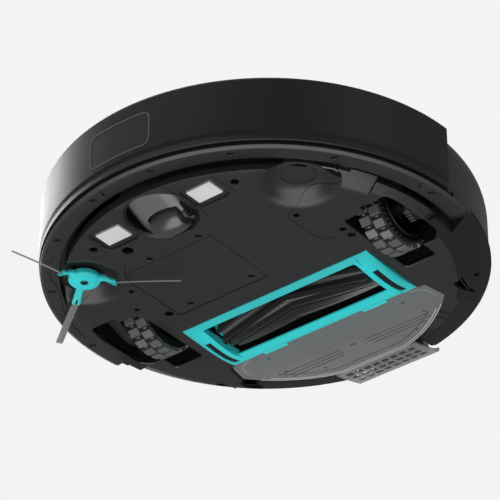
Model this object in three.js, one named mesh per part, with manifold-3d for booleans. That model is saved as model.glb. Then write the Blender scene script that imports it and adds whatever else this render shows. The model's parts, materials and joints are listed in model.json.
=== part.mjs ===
// A round robot vacuum: a chassis pan with an upper shell, a sprung front bumper, two sprung drive
// modules, a swivelling front caster, a three-armed side brush, a chevron main roller under a clip-on
// guard, a pull-out dust bin with its own blower, and a laser scanner turret.
// Millimetres, +Z up. The origin is on the floor under the middle of the disc; the front faces -Y.
import * as THREE from 'three';
import { mergeVertices } from 'three/addons/utils/BufferGeometryUtils.js';
import Module from 'manifold-3d';

// Whole body
const bumperRadius = 175;
const bumperTop = 78.4;
const floorGap = 9; // chassis underside above the floor
const seat = 0.3; // gap between pieces that rest against each other
const plate = 2.2; // wall of the chassis and the upper shell

// Front bumper
const bumperWall = 2.5;
const bumperTravel = 2.5;
const bumperSweep = 88.5; // degrees from the front to each end of its wall
const ringSweep = 97; // degrees from the front to each end of the bottom ring
const ringLift = 7.6; // underside of the ring above the chassis underside
const ringWidth = 12.2;
const ringThick = 3.4;
const ringBevel = 2.8;
const grooveHeight = 2;
const glidePlaces = [-62, -20, 20, 62]; // degrees from the front
const windowSweep = 9.3;
const windowLow = 35;
const windowHigh = 64.5;

// Chassis pan and upper shell
const panEdge = 3.5; // rounding along the pan's lower edge
const skirtFlare = 2; // how far the rear skirt stands out of the shell wall
const skirtTop = 24.5;
const skirtSlope = 27; // width of the rear slope from the flat underside
const shellRound = 18; // height of the rounded top edge at the rear
const deckDrop = 0.9; // shell top below the bumper top
const coverInset = 9.5; // ring of shell left around the top cover
const coverThick = 2.6;

// Drive wheels
const wheelRadius = 34;
const tyreWidth = 20;
const wheelInset = 40.5; // tyre middle inside the pan wall
const wheelY = 4.5;
const treadBlocks = 20;
const treadDepth = 3;
const rimRadius = 26;
const hubTeeth = 20;
const axleRadius = 3;
const armThick = 10;
const armDrop = 20; // degrees of suspension travel
const pivotAhead = 38; // suspension pivot in front of the axle
const pivotAbove = 4;
const wellGap = 5;
const wellWall = 2;
const wellTop = 71;
const driveMotorRadius = 11;

// Caster
const casterRadius = 25.6;
const casterInset = 30.5; // swivel axis behind the pan's front edge
const casterWheelRadius = 13;
const casterWheelWidth = 26;
const casterTrail = 11.2;
const casterStem = 5;

// Side brush and its dishes
const dishRadius = 29;
const dishDepth = 9;
const dishFloor = 13;
const dishAngle = 48; // degrees from the front
const dishInset = 15.7; // dish centre inside the pan's edge
const sideHubRadius = 12.6;
const sideArmReach = 25;
const sideArmWidth = 6.4;
const bristleReach = 76;
const bristleWidth = 5.2;
const sideBrushPhase = 26.7; // degrees from +X to the first arm
const sideMotorRadius = 17;

// Main roller, its tunnel and the guard
const rollerRadius = 22;
const rollerCore = 15;
const rollerY = 37;
const rollerTwist = 62; // degrees each half of a vane winds
const rollerVanes = 6;
const vaneThick = 3.4;
const guardFront = 6;
const guardRear = 69.8;
const guardMargin = 24.5; // guard end inside the tyre middle
const guardBar = 8.3; // front bar
const guardRearBar = 11.8;
const guardSag = 2.6; // guard surface below the chassis underside
const skidSag = 5;
const skidWidth = 14;
const skidGap = 2; // from each skid to the guard's window
const endGap = 3; // from the window to each end of the roller
const tabWidth = 23;
const tabPlace = 48.5;
const tunnelTop = 51;
const brushMotorReach = 34;
const boardGap = 5.8; // from the brush motor to the main board
const tunnelGap = 2.4;

// Dust bin
const binLift = 3; // bin floor above the chassis underside
const binHeight = 43;
const binFrontHalf = 95;
const binSplay = 4;
const binCornerInset = 61.5; // the bin's widest point and rear edge inside the pan's edge
const binRearInset = 18.5;
const binRearFlat = 30;
const binWall = 1.8;
const ribCount = 7; // stiffening ribs across the floor
const ribStart = 6;
const ribStep = 4.6;
const binTravel = 130;
const binPanelHalf = 103;
const tailHalf = 39.5;
const tailProud = 4.5; // how far the exhaust stands out of the shell wall
const filterThick = 7;
const fanRadius = 11.5;
const fanBlades = 7;

// Battery
const hatchLeft = 12;
const hatchRight = -75;
const hatchGap = 0.9; // door behind the caster's edge
const hatchToGuard = 19.5;
const hatchStrip = 12; // lowered strips that hold the door's screws
const hatchStep = 0.4;
const batteryHeight = 22;

// Screw holes
const screwRadius = 2.5;
const pegRadius = 3.2;
const hatchScrewInset = 8; // from the door's left edge
const hatchScrewFront = 11;
const hatchScrewRear = 7;
const hatchScrewRight = 31.5; // from the door's right edge, clear of its curved corner
const ringHoles = [-85, -56, -30, -10, 10, 30, 56, 85]; // degrees from the front
const ringHoleRadius = 2.3;
const ringHoleDepth = 1.3;

// Mop plate latches at the rear corners
const latchInset = 30; // pocket's inner corner inside the bumper's radius
const latchTop = 20;
const latchHoleRadius = 3.2;

// Charging contacts
const contactX = 43.7;
const contactWidth = 22.5;
const contactDepth = 16;
const contactRim = 4.6; // width of the shallow rim round each contact
const rimDepth = 0.8;

// Laser scanner and buttons
const lidarY = 30;
const turretRadius = 42;
const turretRise = 17.6; // turret above the bumper's top
const lidarSlot = 11;
const turretLedge = 16.5; // from the turret's edge to the spinning head
const headGap = 2;
const buttonRadius = 8;
const buttonInset = 36.5; // buttons behind the pan's front edge
const buttonSpread = 14;
const buttonTravel = 1;

// Worked out from the sizes above
const ringBottom = floorGap + ringLift;
const ringTop = ringBottom + ringThick;
const wallBottom = ringTop + grooveHeight;
const ringOuter = bumperRadius - bumperTravel + 0.5;
const ringFlat = ringOuter - ringBevel;
const ringInner = ringFlat - ringWidth;
const panRadius = ringInner - bumperTravel - 1;
const shellRadius = bumperRadius - bumperWall - bumperTravel - 0.5;
const skirtRadius = shellRadius + skirtFlare;
const flangeLow = wallBottom + plate;
const flangeHigh = flangeLow + plate;
const shellLow = flangeHigh + seat;
const deckTop = bumperTop - deckDrop;
const deckLow = deckTop - 1.5 - plate;
const coverRadius = shellRadius - coverInset;
const panInner = panRadius - plate - 1;
const shellInner = shellRadius - plate - 0.6;
const plateTop = floorGap + plate;
const insideLow = plateTop + seat;

const wheelX = panRadius - wheelInset;
const wheelZ = wheelRadius;
const tyreIn = wheelX - tyreWidth / 2;
const tyreOut = wheelX + tyreWidth / 2;
const armIn = wheelX + tyreWidth / 2 + 10.4;
const armOut = armIn + armThick;
const pivotY = wheelY - pivotAhead;
const pivotZ = wheelZ + pivotAbove;
const wellX = tyreIn - wellGap + 0.5;
const guardHalf = wheelX - guardMargin;
const mouthHalf = guardHalf - skidWidth - skidGap;
const rollerHalf = mouthHalf - endGap;
const dishR = panRadius - dishInset;
const dishX = dishR * Math.sin(THREE.MathUtils.degToRad(dishAngle));
const dishY = -dishR * Math.cos(THREE.MathUtils.degToRad(dishAngle));
const casterY = casterInset - panRadius;
const hatchFront = casterY + casterRadius + hatchGap;
const hatchRear = guardFront - hatchToGuard;
const buttonY = buttonInset - panRadius;
const binCornerY = panRadius - binCornerInset;
const binRearY = panRadius - binRearInset;
const rollerZ = rollerRadius + 4.5;
const tunnelRadius = rollerRadius + tunnelGap;
const binLow = floorGap + binLift;
const binHigh = binLow + binHeight;
const binFront = guardRear + 1.4;
const bayRoof = binHigh + 4;
const turretTop = bumperTop + turretRise;
const headRadius = turretRadius - turretLedge;
const wellRadius = headRadius + headGap;
const boardRight = guardHalf + seat - brushMotorReach - boardGap;
const boardLeft = hatchRight - 5;

// Screw holes seen from below, as [x, y, radius], each placed from what it sits beside
const panHoles = [
  [contactX + 25.3, casterY + 0.5, pegRadius],
  [-contactX - 23.8, casterY + 1.5, pegRadius],
  [-contactX - 4.8, hatchFront - 8, pegRadius + 1.2],
  [hatchRight - 8, hatchFront + 35.5, screwRadius - 0.4],
  [wellX - 22, wheelY - 67, screwRadius],
  [hatchRight - 5.5, hatchRear - 6.5, pegRadius],
  [3.5 - wellX, wheelY - 44.5, screwRadius - 0.4],
  [wellX - 6.5, wheelY - 31.5, screwRadius],
  [wellX - 5.5, wheelY - 22, pegRadius],
];
const hatchHoles = [
  [hatchLeft - hatchScrewInset, hatchFront + hatchScrewFront, screwRadius],
  [hatchRight + hatchScrewRight, hatchFront + hatchScrewFront, screwRadius],
  [hatchRight + 16.5, hatchRear - hatchScrewRear, screwRadius],
  [hatchLeft - hatchScrewInset - 3, hatchRear - hatchScrewRear, screwRadius],
];

// Mop plate latch, turned about the middle from the rear corner of the bin
const latchAngle = THREE.MathUtils.degToRad(128); // degrees from the front
const latchAt = (r, along) => [
  r * Math.sin(latchAngle) - along * Math.cos(latchAngle),
  -r * Math.cos(latchAngle) - along * Math.sin(latchAngle),
];
const latchRadius = bumperRadius - latchInset;
const latchCorners = [latchAt(latchRadius + 14, -15), latchAt(latchRadius + 15, 2), latchAt(latchRadius, 12)];
const latchHole = [...latchAt(latchRadius + 13, 16), latchHoleRadius];

// Facets round the big rings and round small turned pieces
const roundSteps = 32;
const smallSteps = 20;
const dishSteps = 16;
const wheelSteps = 16;

// Solids --------------------------------------------------------------------------------------

const wasm = await Module();
wasm.setup();

function toSolid(geometry) {
  const bare = geometry.index ? geometry.toNonIndexed() : geometry;
  bare.deleteAttribute('normal');
  bare.deleteAttribute('uv');
  const merged = mergeVertices(bare, 1e-4);
  const index = merged.index.array;
  const kept = [];
  for (let i = 0; i < index.length; i += 3) {
    const [a, b, c] = [index[i], index[i + 1], index[i + 2]];
    if (a !== b && b !== c && c !== a) kept.push(a, b, c);
  }
  return new wasm.Manifold(
    new wasm.Mesh({
      numProp: 3,
      vertProperties: merged.attributes.position.array,
      triVerts: new Uint32Array(kept),
    }),
  );
}

function toGeometry(body) {
  const mesh = body.asOriginal().simplify(0.002).getMesh();
  const geometry = new THREE.BufferGeometry();
  geometry.setAttribute('position', new THREE.BufferAttribute(mesh.vertProperties, 3));
  geometry.setIndex(new THREE.BufferAttribute(mesh.triVerts, 1));
  geometry.computeVertexNormals();
  return geometry;
}

const join = (...bodies) => bodies.reduce((sum, body) => sum.add(body));
const cut = (body, ...tools) => tools.reduce((left, tool) => left.subtract(tool), body);
const mirrorX = (body) => body.mirror([1, 0, 0]);
const onSide = (body, side) => (side > 0 ? body : mirrorX(body));

function box(x0, x1, y0, y1, z0, z1) {
  const geometry = new THREE.BoxGeometry(x1 - x0, y1 - y0, z1 - z0);
  return toSolid(geometry.translate((x0 + x1) / 2, (y0 + y1) / 2, (z0 + z1) / 2));
}

function prism(shape, z0, z1, curveSegments = 2) {
  const geometry = new THREE.ExtrudeGeometry(shape, { depth: z1 - z0, bevelEnabled: false, curveSegments });
  return toSolid(geometry.translate(0, 0, z0));
}

// A shape drawn in the YZ plane, extruded along X.
function slab(shape, x0, x1, curveSegments = 2) {
  const geometry = new THREE.ExtrudeGeometry(shape, { depth: x1 - x0, bevelEnabled: false, curveSegments });
  const [x, y, z] = [new THREE.Vector3(1, 0, 0), new THREE.Vector3(0, 1, 0), new THREE.Vector3(0, 0, 1)];
  geometry.applyMatrix4(new THREE.Matrix4().makeBasis(y, z, x));
  return toSolid(geometry.translate(x0, 0, 0));
}

// A shape drawn in the XZ plane, extruded along Y.
function wall(shape, y0, y1, curveSegments = 3) {
  const geometry = new THREE.ExtrudeGeometry(shape, { depth: y1 - y0, bevelEnabled: false, curveSegments });
  return toSolid(geometry.rotateX(Math.PI / 2).translate(0, y1, 0));
}

function post(x, y, radius, z0, z1, segments = 16) {
  const geometry = new THREE.CylinderGeometry(radius, radius, z1 - z0, segments);
  return toSolid(geometry.rotateX(Math.PI / 2).translate(x, y, (z0 + z1) / 2));
}

function rodX(x0, x1, y, z, radius, segments = 16) {
  const geometry = new THREE.CylinderGeometry(radius, radius, x1 - x0, segments);
  return toSolid(geometry.rotateZ(Math.PI / 2).translate((x0 + x1) / 2, y, z));
}

function rodY(x, y0, y1, z, radius, segments = 16) {
  const geometry = new THREE.CylinderGeometry(radius, radius, y1 - y0, segments);
  return toSolid(geometry.translate(x, (y0 + y1) / 2, z));
}

// A closed [radius, height] outline turned about Z, with its seam at the front.
function revolve(profile, segments = roundSteps) {
  const points = profile.map(([r, z]) => new THREE.Vector2(r, z));
  let area = 0;
  points.forEach((p, i) => {
    const q = points[(i + 1) % points.length];
    area += p.x * q.y - q.x * p.y;
  });
  if (area < 0) points.reverse();
  points.push(points[0].clone());
  return toSolid(new THREE.LatheGeometry(points, segments).rotateX(Math.PI / 2));
}

// A solid of revolution about the X axis, from a closed [x, radius] outline.
function revolveX(profile, segments = 40) {
  const body = revolve(profile.map(([x, r]) => [r, x]), segments);
  return body.rotate([0, 90, 0]);
}

const turned = (...profile) => revolveX(profile, wheelSteps);

const arc = (cr, cz, rr, rz, from, to, steps) =>
  Array.from({ length: steps + 1 }, (_, i) => {
    const angle = THREE.MathUtils.degToRad(from + ((to - from) * i) / steps);
    return [cr + rr * Math.cos(angle), cz + rz * Math.sin(angle)];
  });

function outline(points) {
  return new THREE.Shape(points.map(([x, y]) => new THREE.Vector2(x, y)));
}

function roundRect(x0, x1, y0, y1, radius) {
  const shape = new THREE.Shape();
  shape.absarc(x1 - radius, y0 + radius, radius, -Math.PI / 2, 0);
  shape.absarc(x1 - radius, y1 - radius, radius, 0, Math.PI / 2);
  shape.absarc(x0 + radius, y1 - radius, radius, Math.PI / 2, Math.PI);
  shape.absarc(x0 + radius, y0 + radius, radius, Math.PI, Math.PI * 1.5);
  return shape;
}

// Everything between two angles, measured in degrees from the front towards +X and back.
function sector(from, to, reach = 400, low = -20, high = 160) {
  const steps = Math.max(2, Math.ceil((to - from) / 30));
  const points = [[0, 0]];
  for (let i = 0; i <= steps; i++) {
    const angle = THREE.MathUtils.degToRad(from + ((to - from) * i) / steps);
    points.push([reach * Math.sin(angle), -reach * Math.cos(angle)]);
  }
  return prism(outline(points), low, high);
}

const frontPart = (sweep) => sector(-sweep, sweep);
const rearPart = (sweep) => sector(sweep, 360 - sweep);

// Skins a stack of rings that all have the same number of points, with flat ends.
function loft(rings) {
  const position = [];
  const count = rings[0].length;
  const push = (...points) => points.forEach((p) => position.push(p.x, p.y, p.z));
  for (let i = 0; i < rings.length - 1; i++) {
    for (let j = 0; j < count; j++) {
      const k = (j + 1) % count;
      push(rings[i][j], rings[i][k], rings[i + 1][k]);
      push(rings[i][j], rings[i + 1][k], rings[i + 1][j]);
    }
  }
  const last = rings.length - 1;
  const middle = (ring) => ring.reduce((sum, p) => sum.add(p), new THREE.Vector3()).divideScalar(count);
  for (let j = 0; j < count; j++) {
    const k = (j + 1) % count;
    push(middle(rings[0]), rings[0][k], rings[0][j]);
    push(middle(rings[last]), rings[last][j], rings[last][k]);
  }
  const geometry = new THREE.BufferGeometry();
  geometry.setAttribute('position', new THREE.BufferAttribute(new Float32Array(position), 3));
  return toSolid(geometry);
}

// Materials -----------------------------------------------------------------------------------

const finish = (color, roughness, metalness = 0, opacity = 1) =>
  new THREE.MeshStandardMaterial({ color, roughness, metalness, opacity, transparent: opacity < 1 });

const look = {
  body: () => finish(0x303030, 0.55),
  bumper: () => finish(0x262626, 0.45),
  window: () => finish(0x1c1c1c, 0.2),
  gloss: () => finish(0x18191b, 0.15),
  accent: () => finish(0x44dbdc, 0.4),
  dark: () => finish(0x202122, 0.6),
  grey: () => finish(0x6c6e70, 0.45),
  tyre: () => finish(0x5f6060, 0.8),
  bristle: () => finish(0x8c8e90, 0.7),
  clear: () => finish(0x77797b, 0.2, 0, 0.45),
  metal: () => finish(0xd7d8da, 0.3, 1),
  steel: () => finish(0x8e9194, 0.35, 1),
  board: () => finish(0x14603a, 0.5),
  cell: () => finish(0x2b4a86, 0.5),
  filter: () => finish(0xdadcd8, 0.9),
};

const robot = new THREE.Group();

function place(parent, name, body, material, position = [0, 0, 0]) {
  const mesh = new THREE.Mesh(toGeometry(body), material());
  mesh.name = name;
  mesh.position.set(...position);
  parent.add(mesh);
  return mesh;
}

function groupAt(parent, x = 0, y = 0, z = 0) {
  const group = new THREE.Group();
  group.position.set(x, y, z);
  parent.add(group);
  return group;
}

// Shared outlines -----------------------------------------------------------------------------

// The two openings of a drive module: one for the tyre, a wider one for the hub and arm.
function tyreSlot(grow) {
  const reach = wheelRadius + wellGap + grow;
  return roundRect(wellX - grow, tyreOut + 3 + grow, wheelY - reach, wheelY + reach, 3);
}

function hubSlot(grow) {
  const front = wheelY - wheelRadius - 11.5 - grow;
  const rear = wheelY + 22.5 + grow;
  const outer = armOut + 1.7 + grow;
  const inner = tyreOut - 5 - grow;
  return outline([
    [inner, front],
    [outer - 3.5, front],
    [outer, front + 17],
    [outer, rear - 9],
    [outer - 7.5, rear],
    [inner, rear],
  ]);
}

function moduleOpening(grow, z0, z1) {
  return join(prism(tyreSlot(grow), z0, z1), prism(hubSlot(grow), z0, z1));
}

// The bin seen from below: straight front, splayed sides and a bowed rear edge.
function binOutline(inset) {
  const half = binFrontHalf - inset;
  const shape = new THREE.Shape();
  shape.moveTo(-half, binFront + inset);
  shape.lineTo(half, binFront + inset);
  shape.lineTo(half + binSplay, binCornerY);
  shape.lineTo(half - 1, binCornerY + 6 - inset / 2);
  shape.quadraticCurveTo(half * 0.66, binRearY - 7 - inset, binRearFlat, binRearY - inset);
  shape.lineTo(-binRearFlat, binRearY - inset);
  shape.quadraticCurveTo(-half * 0.66, binRearY - 7 - inset, 1 - half, binCornerY + 6 - inset / 2);
  shape.lineTo(-half - binSplay, binCornerY);
  return shape;
}

const binPrism = (inset, z0, z1) => prism(binOutline(inset), z0, z1, 4);

// The rear's outer surface, from the flat underside round the skirt to the shell wall.
function skirtCurve(inset) {
  const start = skirtRadius - skirtSlope;
  const curve = [
    [start, floorGap + inset],
    [start + skirtSlope * 0.8 - inset * 0.7, floorGap + 11.6 + inset * 0.6],
    [skirtRadius - inset, skirtTop],
    [skirtRadius - inset, flangeHigh],
  ];
  if (!inset) curve.splice(1, 0, [start + skirtSlope * 0.45, floorGap + 6]);
  return curve;
}

const hatchOutline = (grow) => {
  const shape = new THREE.Shape();
  shape.moveTo(hatchLeft + grow, hatchFront - grow);
  shape.lineTo(hatchLeft + grow, hatchRear + grow);
  shape.lineTo(hatchRight - grow, hatchRear + grow);
  shape.lineTo(hatchRight - grow, hatchFront + 25);
  shape.quadraticCurveTo(hatchRight + 7 - grow, hatchFront - grow, hatchRight + 30, hatchFront - grow);
  return shape;
};

// Keeps inner pieces inside the pan below the flange and inside the shell above it.
const insideBody = () =>
  join(post(0, 0, panInner, floorGap, flangeHigh + seat, roundSteps), post(0, 0, shellInner, shellLow, deckLow - seat, roundSteps));

// Chassis -------------------------------------------------------------------------------------

function dishBowl() {
  return revolve([
    [0, floorGap - 1],
    [dishRadius, floorGap - 1],
    [dishRadius, floorGap],
    [dishRadius - 3, floorGap + dishDepth * 0.48],
    [dishRadius - 9, floorGap + dishDepth * 0.85],
    [dishFloor, floorGap + dishDepth],
    [0, floorGap + dishDepth],
  ], dishSteps);
}

function dishBacking() {
  const [outer, top] = [dishRadius + plate, floorGap + dishDepth + plate];
  return revolve([[0, floorGap], [outer, floorGap], [outer, floorGap + 4], [dishFloor + plate, top], [0, top]], dishSteps);
}

function latchBacking() {
  const around = latchCorners.map(([x, y]) => post(x, y, plate, floorGap, latchTop + plate, 6));
  const under = revolve([[0, floorGap], ...skirtCurve(0), [0, flangeHigh]]);
  return wasm.Manifold.hull(around).intersect(under);
}

// A three-cornered pocket and a release hole for the mop plate.
function latchPocket() {
  const [x, y, r] = latchHole;
  return join(prism(outline(latchCorners), 0, latchTop), post(x, y, r, 0, latchTop, 8));
}

function contactRecess() {
  const [w, d] = [contactWidth / 2 + contactRim, contactDepth / 2 + contactRim];
  return prism(roundRect(-w, w, -d, d, 6), 0, floorGap + rimDepth);
}

function batteryHatch() {
  const door = prism(hatchOutline(0), floorGap, plateTop);
  const strips = join(
    box(hatchRight - 1, hatchLeft + 1, hatchRear - hatchStrip, hatchRear + 1, 0, floorGap + hatchStep),
    box(hatchRight - 1, hatchLeft + 1, hatchFront - 1, hatchFront + hatchStrip + 3, 0, floorGap + hatchStep),
  );
  return cut(door, strips, ...hatchHoles.map(([x, y, r]) => post(x, y, r, 0, plateTop + 1, 6)));
}

function chassisBase() {
  const edge = arc(panRadius - panEdge, floorGap + panEdge, panEdge, panEdge, -90, 0, 2);
  const pan = revolve([
    [0, floorGap],
    ...edge,
    [panRadius, flangeLow],
    [shellRadius, flangeLow],
    [shellRadius, flangeHigh],
    [panRadius - plate, flangeHigh],
    [panRadius - plate, plateTop + 1],
    [panRadius - plate - 1, plateTop],
    [0, plateTop],
  ]).intersect(frontPart(ringSweep + 4));

  const flat = post(0, 0, skirtRadius - skirtSlope + 1, floorGap, plateTop, roundSteps);
  const skirt = revolve([...skirtCurve(0), ...skirtCurve(plate).reverse()]).intersect(rearPart(bumperSweep + 3.3));
  const pocket = revolve([
    [panRadius, ringBottom - 20],
    [bumperRadius, ringBottom - 20],
    [bumperRadius, ringTop + 1.2],
    [panRadius, ringTop + 1.2],
  ]).intersect(frontPart(ringSweep + 3.6));
  const stop = revolve([
    [panRadius - 1, floorGap],
    [skirtRadius - 3, floorGap],
    [skirtRadius - 1, flangeHigh],
    [panRadius - 1, flangeHigh],
  ])
    .intersect(rearPart(ringSweep + 3.6))
    .intersect(frontPart(ringSweep + 5))
    .intersect(revolve([[0, floorGap], ...skirtCurve(0), [0, flangeHigh]]));

  const drilled = panHoles.map(([x, y, r]) => post(x, y, r, 0, plateTop + 1, 6));
  let body = cut(join(pan, flat, cut(skirt, pocket), stop), ...drilled);
  const underEdge = post(0, 0, panRadius, floorGap, flangeLow, roundSteps);
  for (const side of [1, -1]) {
    body = join(body, dishBacking().translate([side * dishX, dishY, 0]).intersect(underEdge));
    body = cut(body, dishBowl().translate([side * dishX, dishY, 0]));
    body = cut(body, onSide(moduleOpening(0, 0, plateTop + 1), side));
    body = cut(body, contactPad(seat).translate([side * contactX, casterY - 3, 0]));
    body = cut(body, contactRecess().translate([side * contactX, casterY - 3, 0]));
    body = join(body, onSide(latchBacking(), side));
    body = cut(body, onSide(latchPocket(), side));
  }
  const swivelHole = revolve([
    [0, floorGap - 1],
    [casterRadius + 3, floorGap - 1],
    [casterRadius + 3, floorGap],
    [casterRadius + 0.7, plateTop],
    [casterRadius + 0.7, flangeLow],
    [0, flangeLow],
  ], smallSteps).translate([0, casterY, 0]);
  const brushBay = box(-guardHalf - seat, guardHalf + seat, guardFront - seat, binFront, 0, plateTop + 1);
  const binBay = join(
    binPrism(-seat * 2, 0, flangeHigh + 10),
    box(-binPanelHalf, binPanelHalf, binCornerY, bumperRadius * 1.2, 0, flangeHigh + 10),
  );
  const shaftHole = post(-dishX, dishY, 4.3, 0, 40, 16);
  return cut(body, swivelHole, brushBay, binBay, shaftHole, prism(hatchOutline(seat), 0, plateTop + 1));
}

// Upper shell: a drum with a straight front wall behind the bumper and a softly rounded rear.
function upperShell() {
  const deck = [
    [coverRadius, deckTop],
    [coverRadius, deckTop - 1.5],
    [0, deckTop - 1.5],
    [0, deckLow],
  ];
  const front = revolve([
    [shellRadius, shellLow],
    [shellRadius, deckTop - 2],
    [shellRadius - 2, deckTop],
    ...deck,
    [shellRadius - plate, deckLow],
    [shellRadius - plate, shellLow],
  ]).intersect(frontPart(bumperSweep + 1.2));
  const roundWidth = coverInset - 1;
  const rear = revolve([
    [shellRadius, shellLow],
    ...arc(shellRadius - roundWidth, deckTop - shellRound, roundWidth, shellRound, 0, 90, 3),
    ...deck,
    [shellRadius - roundWidth - 1, deckLow],
    ...arc(shellRadius - roundWidth, deckTop - shellRound, roundWidth - plate, shellRound - plate - 2, 50, 0, 1),
    [shellRadius - plate, shellLow],
  ]).intersect(rearPart(bumperSweep + 1.2 - 0.01));
  const lidarHole = post(0, lidarY, turretRadius - 8, 0, 100, smallSteps);
  const bayCut = box(-binPanelHalf, binPanelHalf, 60, 200, 0, bayRoof + 0.6);
  let body = cut(join(front, rear), lidarHole, bayCut);
  for (const side of [1, -1]) body = cut(body, post(side * buttonSpread, buttonY, 4, 0, 100, 16));
  return body;
}

function topCover() {
  const low = deckTop - 1.5 + seat;
  const disc = revolve([
    [0, low],
    [coverRadius - seat, low],
    [coverRadius - seat, low + coverThick],
    [0, low + coverThick],
  ]);
  const buttons = [1, -1].map((side) => post(side * buttonSpread, buttonY, buttonRadius + seat, 0, 100, 16));
  return cut(disc, post(0, lidarY, turretRadius + seat, 0, 100, 24), ...buttons);
}

function contactPad(grow) {
  const [w, d] = [contactWidth / 2 + grow, contactDepth / 2 + grow];
  return join(
    box(-w, w, -d, d, floorGap - 0.2 - grow, plateTop + 1),
    box(-w - 1.5, w + 1.5, -d - 1.5, d + 1.5, plateTop + seat, plateTop + 1 + seat),
  );
}

const chassis = groupAt(robot);
place(chassis, 'chassis_base', chassisBase(), look.body);
place(chassis, 'upper_shell', upperShell(), look.body);
place(chassis, 'top_cover', topCover(), look.gloss);
place(chassis, 'battery_hatch', batteryHatch(), look.body);
['left', 'right'].forEach((name, i) => {
  const x = (i ? -1 : 1) * contactX;
  place(chassis, `contact_${name}`, contactPad(0), look.metal, [x, casterY - 3, 0]);
});

// Electronics ---------------------------------------------------------------------------------

function batteryPack() {
  const shell = prism(roundRect(hatchRight + 6, hatchLeft - 4, hatchFront + 14, hatchRear - 8, 5), insideLow, insideLow + batteryHeight);
  const grooves = [0.25, 0.5, 0.75].map((t) => {
    const y = hatchFront + 14 + t * (hatchRear - hatchFront - 22);
    return box(hatchRight, hatchLeft, y - 1, y + 1, insideLow + batteryHeight - 1.5, insideLow + batteryHeight + 1);
  });
  return cut(shell, ...grooves);
}

function mainBoard() {
  const low = insideLow + batteryHeight + 9;
  const board = box(boardLeft, boardRight, hatchFront - 10, hatchRear + 8, low, low + 1.6);
  const chips = join(
    box(boardLeft + 30, boardLeft + 46, hatchFront + 27, hatchFront + 43, low + 1.6, low + 3.2),
    box(boardRight - 60, boardRight - 44, hatchRear - 31, hatchRear - 17, low + 1.6, low + 3.2),
    box(boardRight - 24, boardRight - 4, hatchFront + 17, hatchFront + 29, low + 1.6, low + 10),
  );
  const legs = [
    [boardLeft + 20, hatchFront - 5.5],
    [boardRight - 4, hatchFront - 5.5],
    [boardRight - 4, hatchRear + 4],
    [boardLeft + 3.5, hatchRear + 4],
  ];
  return join(board, chips, ...legs.map(([x, y]) => post(x, y, 3, insideLow, low, 6)));
}

place(chassis, 'battery_pack', batteryPack(), look.cell);
place(chassis, 'main_board', mainBoard(), look.board);
const speaker = revolve([[0, 0], [15, 0], [15, 3], [9, 9], [9, 13], [0, 13]], 12);
place(chassis, 'speaker', speaker, look.dark, [boardRight - 6, hatchFront + 31.5, insideLow]);

// Front bumper --------------------------------------------------------------------------------

// The bumper hangs behind its lip on four glides that run along the underside of the chassis flange.
function bumperShell() {
  const lip = bumperRadius - bumperWall;
  const wallRing = revolve([
    [ringInner + 2, ringTop + seat],
    [lip - 1, ringTop + seat],
    [lip - 1, wallBottom],
    [bumperRadius, wallBottom],
    ...arc(bumperRadius - 2, bumperTop - 2, 2, 2, 0, 90, 2),
    [lip, bumperTop],
    [lip, wallBottom + 0.5],
    [ringInner + 2, wallBottom + 0.5],
  ], roundSteps).intersect(frontPart(bumperSweep));
  const glide = revolve([
    [ringInner + 4, wallBottom],
    [ringInner + 9, wallBottom],
    [ringInner + 9, flangeLow - seat],
    [ringInner + 4, flangeLow - seat],
  ]);
  const glides = glidePlaces.map((angle) => glide.intersect(sector(angle - 2, angle + 2)));
  return join(cut(wallRing, windowBlock(0.5)), ...glides);
}

function windowBlock(grow) {
  const half = bumperRadius * Math.sin(THREE.MathUtils.degToRad(windowSweep)) + grow;
  return wall(roundRect(-half, half, windowLow - grow, windowHigh + grow, 6 + grow), -bumperRadius - 5, -100, 4);
}

function bumperRing() {
  const ring = revolve([
    [ringInner, ringBottom],
    [ringFlat, ringBottom],
    [ringOuter, ringTop - 0.8],
    [ringOuter, ringTop],
    [ringInner, ringTop],
  ], roundSteps).intersect(frontPart(ringSweep));
  const middle = (ringInner + ringFlat) / 2;
  const holes = ringHoles.map((angle) =>
    post(0, -middle, ringHoleRadius, 0, ringBottom + ringHoleDepth, 6).rotate([0, 0, angle]));
  return cut(ring, ...holes);
}

function bumperWindow() {
  const inner = bumperRadius - bumperWall;
  return revolve([
    [inner, windowLow - 5],
    [bumperRadius, windowLow - 5],
    [bumperRadius, windowHigh + 5],
    [inner, windowHigh + 5],
  ], roundSteps).intersect(windowBlock(0));
}

const bumper = groupAt(robot);
place(bumper, 'bumper_shell', bumperShell(), look.bumper);
place(bumper, 'bumper_ring', bumperRing(), look.body);
place(bumper, 'bumper_window', bumperWindow(), look.window);

// Drive modules -------------------------------------------------------------------------------

function wheelHousing() {
  const [x0, x1] = [wellX, armOut + 1.7];
  const [y0, y1] = [pivotY - 16 - driveMotorRadius - 3.5, wheelY + wheelRadius + wellGap];
  const upper = flangeHigh + seat;
  const outer = join(
    moduleOpening(wellWall, insideLow, upper + 1),
    box(x0 - wellWall, x1 + wellWall, y0 - wellWall, y1 + wellWall, upper - wellWall, wellTop + wellWall),
  );
  const cavity = join(moduleOpening(0, 0, upper + 1), box(x0, x1, y0, y1, upper, wellTop));
  const bore = rodX(armOut, x1 + wellWall + 1, pivotY, pivotZ, axleRadius + seat, 12);
  const slope = revolve([
    ...skirtCurve(plate + seat),
    [skirtRadius + 5, flangeHigh],
    [skirtRadius + 5, 0],
    [skirtRadius - skirtSlope, 0],
  ]).intersect(rearPart(bumperSweep + 3.3));
  return cut(outer, cavity, bore, slope).intersect(insideBody());
}

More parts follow.
